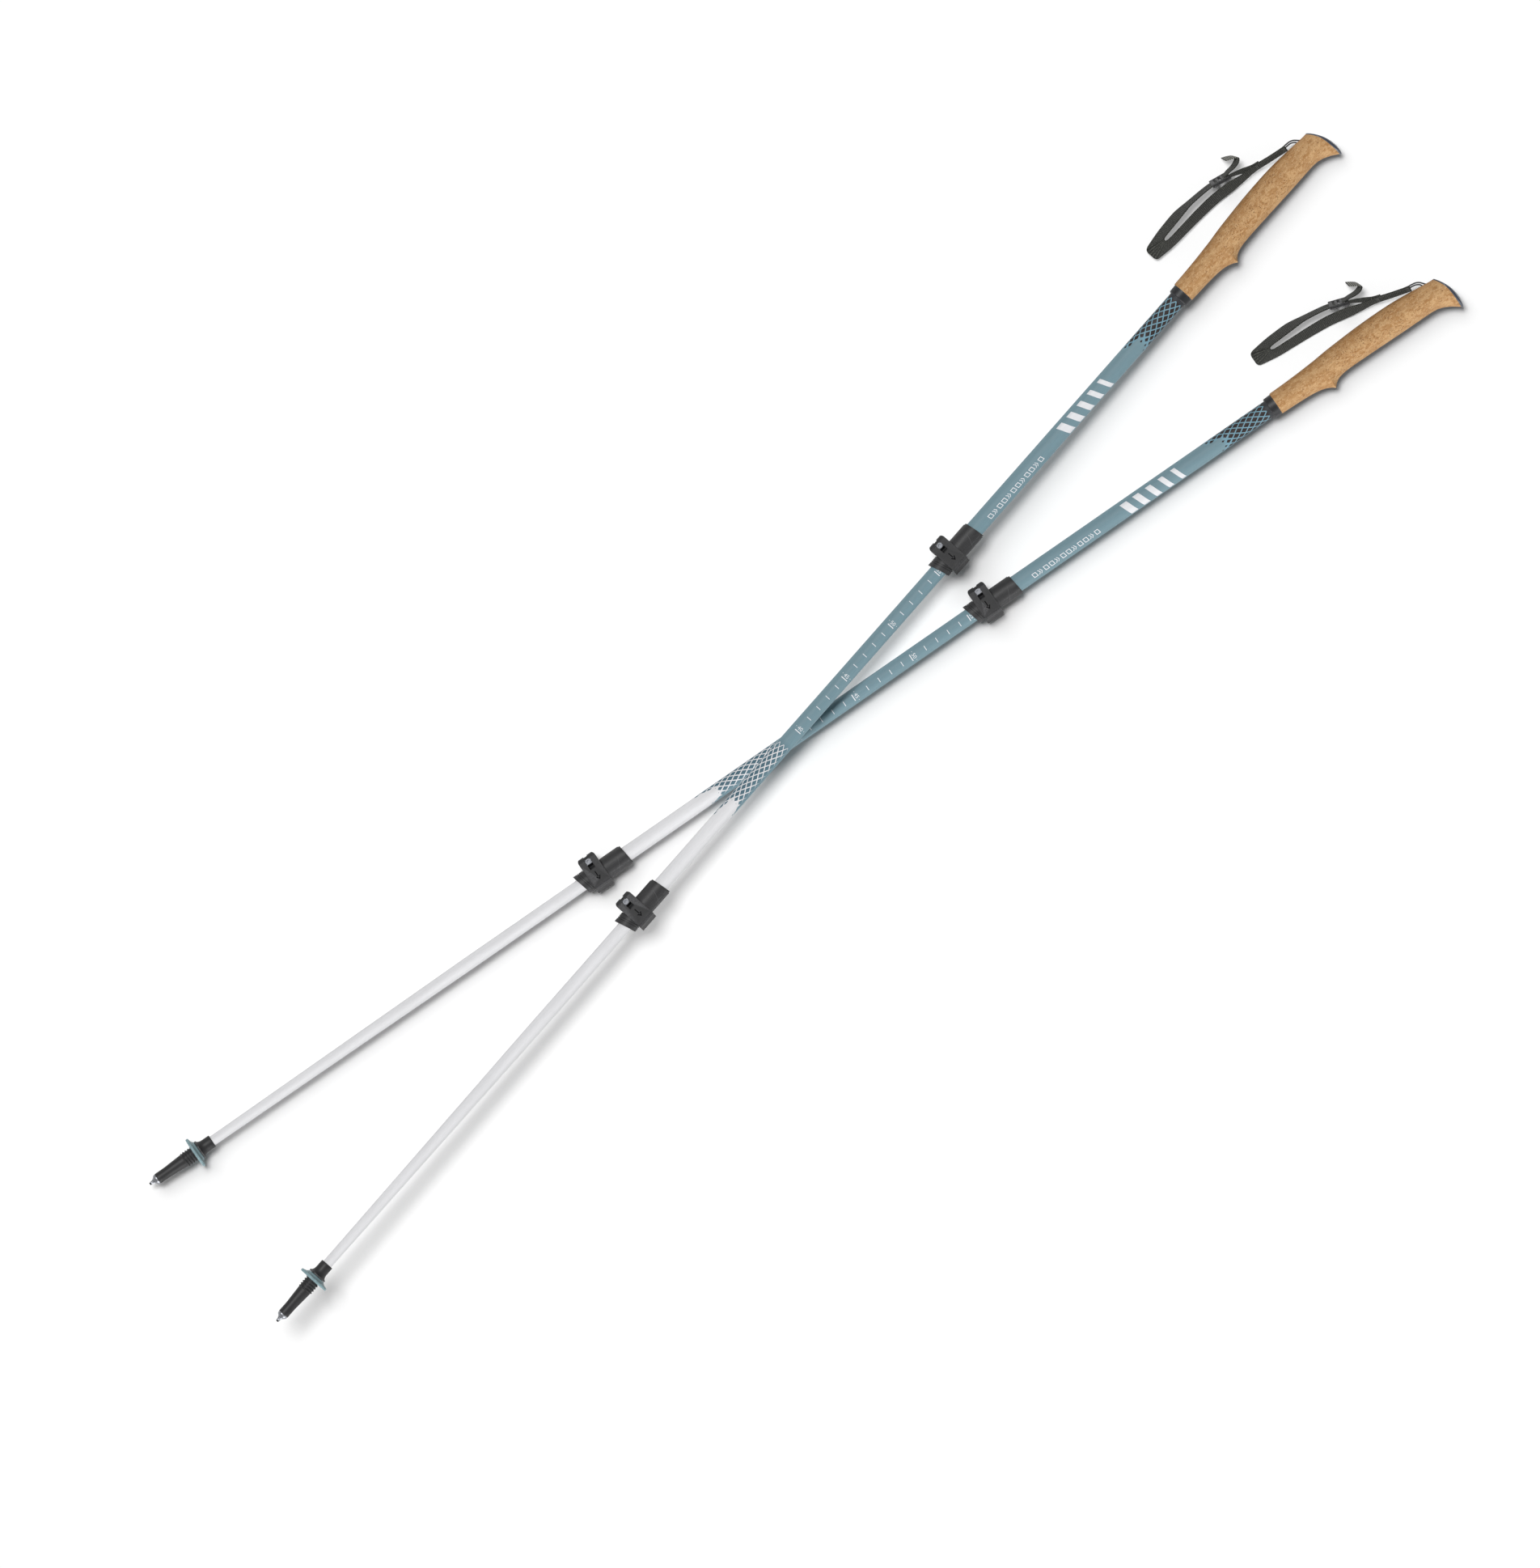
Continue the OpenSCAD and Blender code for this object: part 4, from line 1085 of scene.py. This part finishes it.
def ferrule(pole, material):
    """Smooth nose, helical thread, the flange that stops the basket, and the sleeve over the tube."""
    low, high = pole.low("tip_ferrule"), pole.high("tip_ferrule")
    profile = [(low, STEM_R), (low, 4.65), (low + 0.12, 4.85), (low + 0.4, NOSE_R)]
    profile += [(s, NOSE_R) for s in (12, 15, NOSE_TO)]
    profile += [(NOSE_TO + t * (THREAD_FROM - NOSE_TO), NOSE_R + t * (THREAD_ROOT - NOSE_R))
                for t in (0.2, 0.4, 0.6, 0.8)]
    for i in range(THREAD_STEPS + 1):
        s = THREAD_FROM + (THREAD_TO - THREAD_FROM) * i / THREAD_STEPS
        profile.append((s, thread_radius(s, min(1, i / 6, (THREAD_STEPS - i) / 6))))
    profile += [(FLANGE_AT - 0.02, THREAD_ROOT), (FLANGE_AT, 8.3), (FLANGE_AT + 0.2, FLANGE_R),
                (FLANGE_AT + 1.3, FLANGE_R)]
    for k in range(1, 13):
        a = radians(90 * k / 12)
        profile.append((SLEEVE_AT - 5.2 * cos(a), FLANGE_R - (FLANGE_R - SLEEVE_R) * sin(a)))
    profile += [(64, SLEEVE_R), (high - 0.5, SLEEVE_R), (high - 0.15, SLEEVE_R - 0.12),
                (high, SLEEVE_R - 0.5), (high, TUBE_SOCKET_R), (STEM_TO, TUBE_SOCKET_R), (STEM_TO, STEM_R)]
    piece(pole, "threaded_ferrule", turned(profile, 96), material, "lower_section",
          ["tip_ferrule"], 40)


def basket(pole, material):
    """A dished disc with a scalloped rim and a hub that sits on the thread."""
    rim = pole.high("basket", 2)
    bore = THREAD_CREST + 0.05

    def scallop(depth):
        return lambda a: rim - depth - SCALLOP_DEPTH * max(0, cos(SCALLOPS * a)) ** 3
    edge = ((47.95, 1.3), (48, 0.7), (48.2, 0.25), (48.5, 0.04), (48.9, 0), (49.6, 0), (50, 0.1),
            (50.3, 0.35), (50.5, 0.8), (50.6, 1.4))
    profile = [(48, bore), (47.8, bore + 0.3), (47.9, 8.6), (48.2, 9.1), (48.35, 9.7), (48.2, 10.3),
               (48.2, rim - 3.4), (48.05, rim - 2.2)]
    profile += [(s, scallop(depth)) for s, depth in edge]
    profile += [(50.75, 12.2), (50.95, 11.4), (51.2, 10.6), (51.6, 9.9), (52.2, 9.2), (52.8, 8.7),
                (53.1, 8.3), (53.1, bore + 0.3), (52.9, bore)]
    piece(pole, "trail_basket", turned(profile, 144), material, "basket_turner",
          ["basket"], 40)


def steel_point(pole, steel, carbide):
    """The flared steel holder with six flutes, and the hard insert with its cupped end."""
    def fluted(r, depth):
        return lambda a: r - depth * (0.5 + 0.5 * cos(FLUTES * a)) ** 2
    start, end = STEEL_FLARE[0][0], STEEL_FLARE[-1][0]
    holder = [(8.2, 1.22), (start + 0.05, 1.22), (start, 1.36), (start + 0.05, 1.5)]
    for k in range(1, FLUTE_STEPS + 1):
        s = start + (end - start) * k / FLUTE_STEPS
        depth = FLUTE_DEPTH * sin(pi * k / FLUTE_STEPS) ** 0.5
        holder.append((s, fluted(curve(STEEL_FLARE, s), depth)))
    holder += [(end, 4.7), (end, 2.5), (22, 2.5), (22, 0.8), (8.2, 0.8)]
    piece(pole, "steel_holder", turned(holder, 96), steel, "lower_section", ["steel_tip"], 40)
    cup = [(0.75, 0.02), (0.55, 0.35), (0.15, 0.66), (0.02, 0.8), (0, 0.9), (0.08, 1), (0.5, 1.18),
           (1.2, 1.2), (8.1, 1.2), (8.1, 0.02)]
    piece(pole, "carbide_insert", turned(cup, 48), carbide, "lower_section",
          ["carbide_point"], 40)


# ---------- locks ----------

def softened(pole, part, name, width, material, body):
    """A CAD part's own shape with its hard edges rounded."""
    bm = bmesh.new()
    bm.from_mesh(pole.node(part).data)
    bmesh.ops.remove_doubles(bm, verts=bm.verts, dist=2e-6)
    bmesh.ops.dissolve_limit(bm, angle_limit=radians(1), verts=bm.verts, edges=bm.edges)
    hard = [e for e in bm.edges if len(e.link_faces) == 2 and e.calc_face_angle(0) > radians(28)]
    bmesh.ops.bevel(bm, geom=hard, offset=width * MM, segments=2, profile=0.6, affect="EDGES",
                    clamp_overlap=True)
    bmesh.ops.recalc_face_normals(bm, faces=bm.faces)
    mesh = bpy.data.meshes.new(name)
    bm.to_mesh(mesh)
    bm.free()
    shade(mesh, 50)
    obj = place(pole, name, mesh, material, body, [part])
    weighted = obj.modifiers.new("even_shading", "WEIGHTED_NORMAL")
    weighted.keep_sharp = True


def locks(pole):
    """The clamp and the lever of both locks."""
    for which, body in (("upper", "handle"), ("lower", "middle_section")):
        softened(pole, f"{which}_lock_body", f"{which}_clamp", 0.25, lock_plastic(pole, which),
                 body)
        softened(pole, f"{which}_lock_lever", f"{which}_cam_lever", 0.3, lever_plastic(pole, which),
                 f"{which}_lever")


# ---------- build ----------

# CAD nodes that stay visible, and what each is made of
CAD_FINISH = {
    "core": ("grip_core", "middle_guide", "lower_guide"),
    "collar": ("grip_collar",),
    "steel": ("strap_pin", "upper_lock_barrel", "lower_lock_barrel", "upper_lock_nut", "lower_lock_nut"),
    "screw_steel": ("upper_lock_screw", "lower_lock_screw"),
    "upper": ("upper_tube",), "middle": ("middle_tube",), "white": ("lower_tube",),
}


# Colour, roughness and, where they differ, texture and the colour of worn edges; on the basket that edge
# colour is a painted highlight
PLASTICS = {
    "core": (srgb(48, 48, 50), 0.55),
    "black": (srgb(39, 39, 40), 0.5),
    "buckle": (srgb(24, 24, 25), 0.42),
    "collar": (srgb(36, 37, 39), 0.46),
    # Its pale edge colour is a painted highlight along the rims
    "basket": (srgb(120, 145, 150), 0.45, 0.6, srgb(164, 182, 186)),
}
METALS = {
    "steel": (srgb(150, 152, 157), 0.42),
    "screw_steel": (srgb(132, 134, 139), 0.5),
    "carbide": (srgb(36, 36, 38), 0.5),
}


def materials_for(pole):
    plastics = {key: plastic(pole, f"{key}_plastic", *look) for key, look in PLASTICS.items()}
    metals = {key: metal(pole, key, *look) for key, look in METALS.items()}
    return plastics | metals | {
        "cork": cork(pole),
        "cap": cap_plastic(pole),
        "upper": upper_tube_paint(pole),
        "middle": middle_tube_paint(pole),
        "white": white_paint(pole),
        "ink": print_ink(pole),
        "webbing": webbing(pole),
        "cord": cord_fibre(pole, "cord", srgb(22, 22, 23), srgb(60, 60, 62)),
        "thread": cord_fibre(pole, "thread", srgb(52, 52, 50), srgb(96, 96, 92)),
    }


def build(pole):
    grip_at = pole.low("cork_grip")
    materials = materials_for(pole)
    for finish, parts in CAD_FINISH.items():
        for part in parts:
            data = pole.node(part).data
            data.materials.clear()
            data.materials.append(materials[finish])
    grip(pole, grip_at, materials)
    strap(pole, grip_at, materials)
    scale_marks(pole, materials["ink"])
    tube_graphic(pole, materials["ink"])
    ferrule(pole, materials["black"])
    basket(pole, materials["basket"])
    steel_point(pole, materials["steel"], materials["carbide"])
    locks(pole)


POLES = [Pole(side) for side in SIDES]
for pole in POLES:
    build(pole)


# ---------- floor, light and camera ----------

FLOOR_HALF, FLOOR_GAP = 300, 0.0002


def lay_floor():
    corners = slanted(-FLOOR_HALF, FLOOR_HALF, -FLOOR_HALF, FLOOR_HALF)
    mesh = bpy.data.meshes.new("floor")
    mesh.from_pydata([(x, y, 0) for x, y in corners], [], [(0, 1, 2, 3)])
    floor = add_object("floor", mesh)
    floor.location.z = min(0, cad_box[0].z) - FLOOR_GAP
    paper = Shader("floor_paper")
    grey = (0.93, 0.93, 0.93, 1)
    mesh.materials.append(paper.set(Base_Color=grey, Roughness=0.95, Specular_IOR_Level=0.1))


def sun(name, azimuth, elevation, energy, spread, lit, blockers=None, shadow=True):
    """azimuth is where the light comes from, in degrees from +X towards +Y."""
    data = bpy.data.lights.new(name, "SUN")
    data.energy = energy
    data.angle = radians(spread)
    data.use_shadow = shadow
    obj = add_object(name, data)
    a, e = radians(azimuth), radians(elevation)
    source = Vector((cos(a) * cos(e), sin(a) * cos(e), sin(e)))
    obj.rotation_mode = "QUATERNION"
    obj.rotation_quaternion = source.to_track_quat("Z", "Y")
    obj.light_linking.receiver_collection = lit
    if blockers:
        obj.light_linking.blocker_collection = blockers


def listed(name, wanted):
    """A collection that only says which objects a light reaches or is blocked by."""
    group = bpy.data.collections.new(name)
    for obj in bpy.context.scene.objects:
        if obj.type == "MESH" and wanted(obj.name):
            group.objects.link(obj)
    return group


# The straps and the raised lower half of the left pole, which don't block the lower floor light
STRAP_PIECES = ("wrist_band", "adjuster_webbing", "strap_stitches")
RAISED_PIECES = ("lower", "middle", "threaded", "trail_basket", "steel_holder", "carbide_insert")
RAISED = tuple([f"{side}_{word}" for side in SIDES for word in STRAP_PIECES]
               + ["left_" + word for word in RAISED_PIECES])


def lights():
    """One key and a fill for the poles, and two keys for the floor that keep the shadows close."""
    floor_only = listed("floor_light", lambda name: name == "floor")
    poles_only = listed("pole_light", lambda name: name != "floor")
    low_lying = listed("low_lying", lambda name: not name.startswith(RAISED))
    sun("floor_key", 90, 74, 1.95, 20, floor_only)
    sun("floor_soft_key", 90, 55, 1.4, 42, floor_only, low_lying)
    sun("key", 105, 67, 2.75, 20, poles_only)
    sun("fill", -120, 14, 2.8, 30, poles_only, shadow=False)


SKY_FOR_CAMERA, SKY_FOR_THE_REST = 1.05, 0.14


def surroundings():
    """White for the camera, and a dim even light for everything else."""
    world = bpy.data.worlds.new("studio")
    bpy.context.scene.world = world
    world.use_nodes = True
    nodes, link = world.node_tree.nodes, world.node_tree.links.new
    nodes.clear()
    mix = nodes.new("ShaderNodeMixShader")
    link(nodes.new("ShaderNodeLightPath").outputs["Is Camera Ray"], mix.inputs[0])
    for number, strength in ((1, SKY_FOR_THE_REST), (2, SKY_FOR_CAMERA)):
        sky = nodes.new("ShaderNodeBackground")
        sky.inputs["Color"].default_value = (1, 1, 1, 1)
        sky.inputs["Strength"].default_value = strength
        link(sky.outputs[0], mix.inputs[number])
    link(mix.outputs[0], nodes.new("ShaderNodeOutputWorld").inputs["Surface"])


CROSSING_TO_CENTRE = Vector((-0.0347, -0.0174, 0))
CAMERA_TURN = -41.66
FRAME_HEIGHT = 1.3902
LENS, SENSOR = 500, 36


def crossing():
    """Where the two poles' axes cross, seen from above."""
    a, b = POLES
    u, v = a.turn.col[0].to_2d(), b.turn.col[0].to_2d()
    gap = (b.start - a.start).to_2d()
    t = (gap.x * v.y - gap.y * v.x) / (u.x * v.y - u.y * v.x)
    return (a.start.to_2d() + u * t).to_3d()


def camera():
    data = bpy.data.cameras.new("camera")
    data.lens, data.sensor_width = LENS, SENSOR
    data.clip_start, data.clip_end = 1, 100
    obj = add_object("camera", data)
    target = crossing() + CROSSING_TO_CENTRE
    obj.location = (target.x, target.y, LENS / SENSOR * FRAME_HEIGHT)
    obj.rotation_euler = (0, 0, radians(CAMERA_TURN))
    bpy.context.scene.camera = obj


lay_floor()
lights()
surroundings()
camera()
bpy.context.scene.view_settings.view_transform = "Standard"
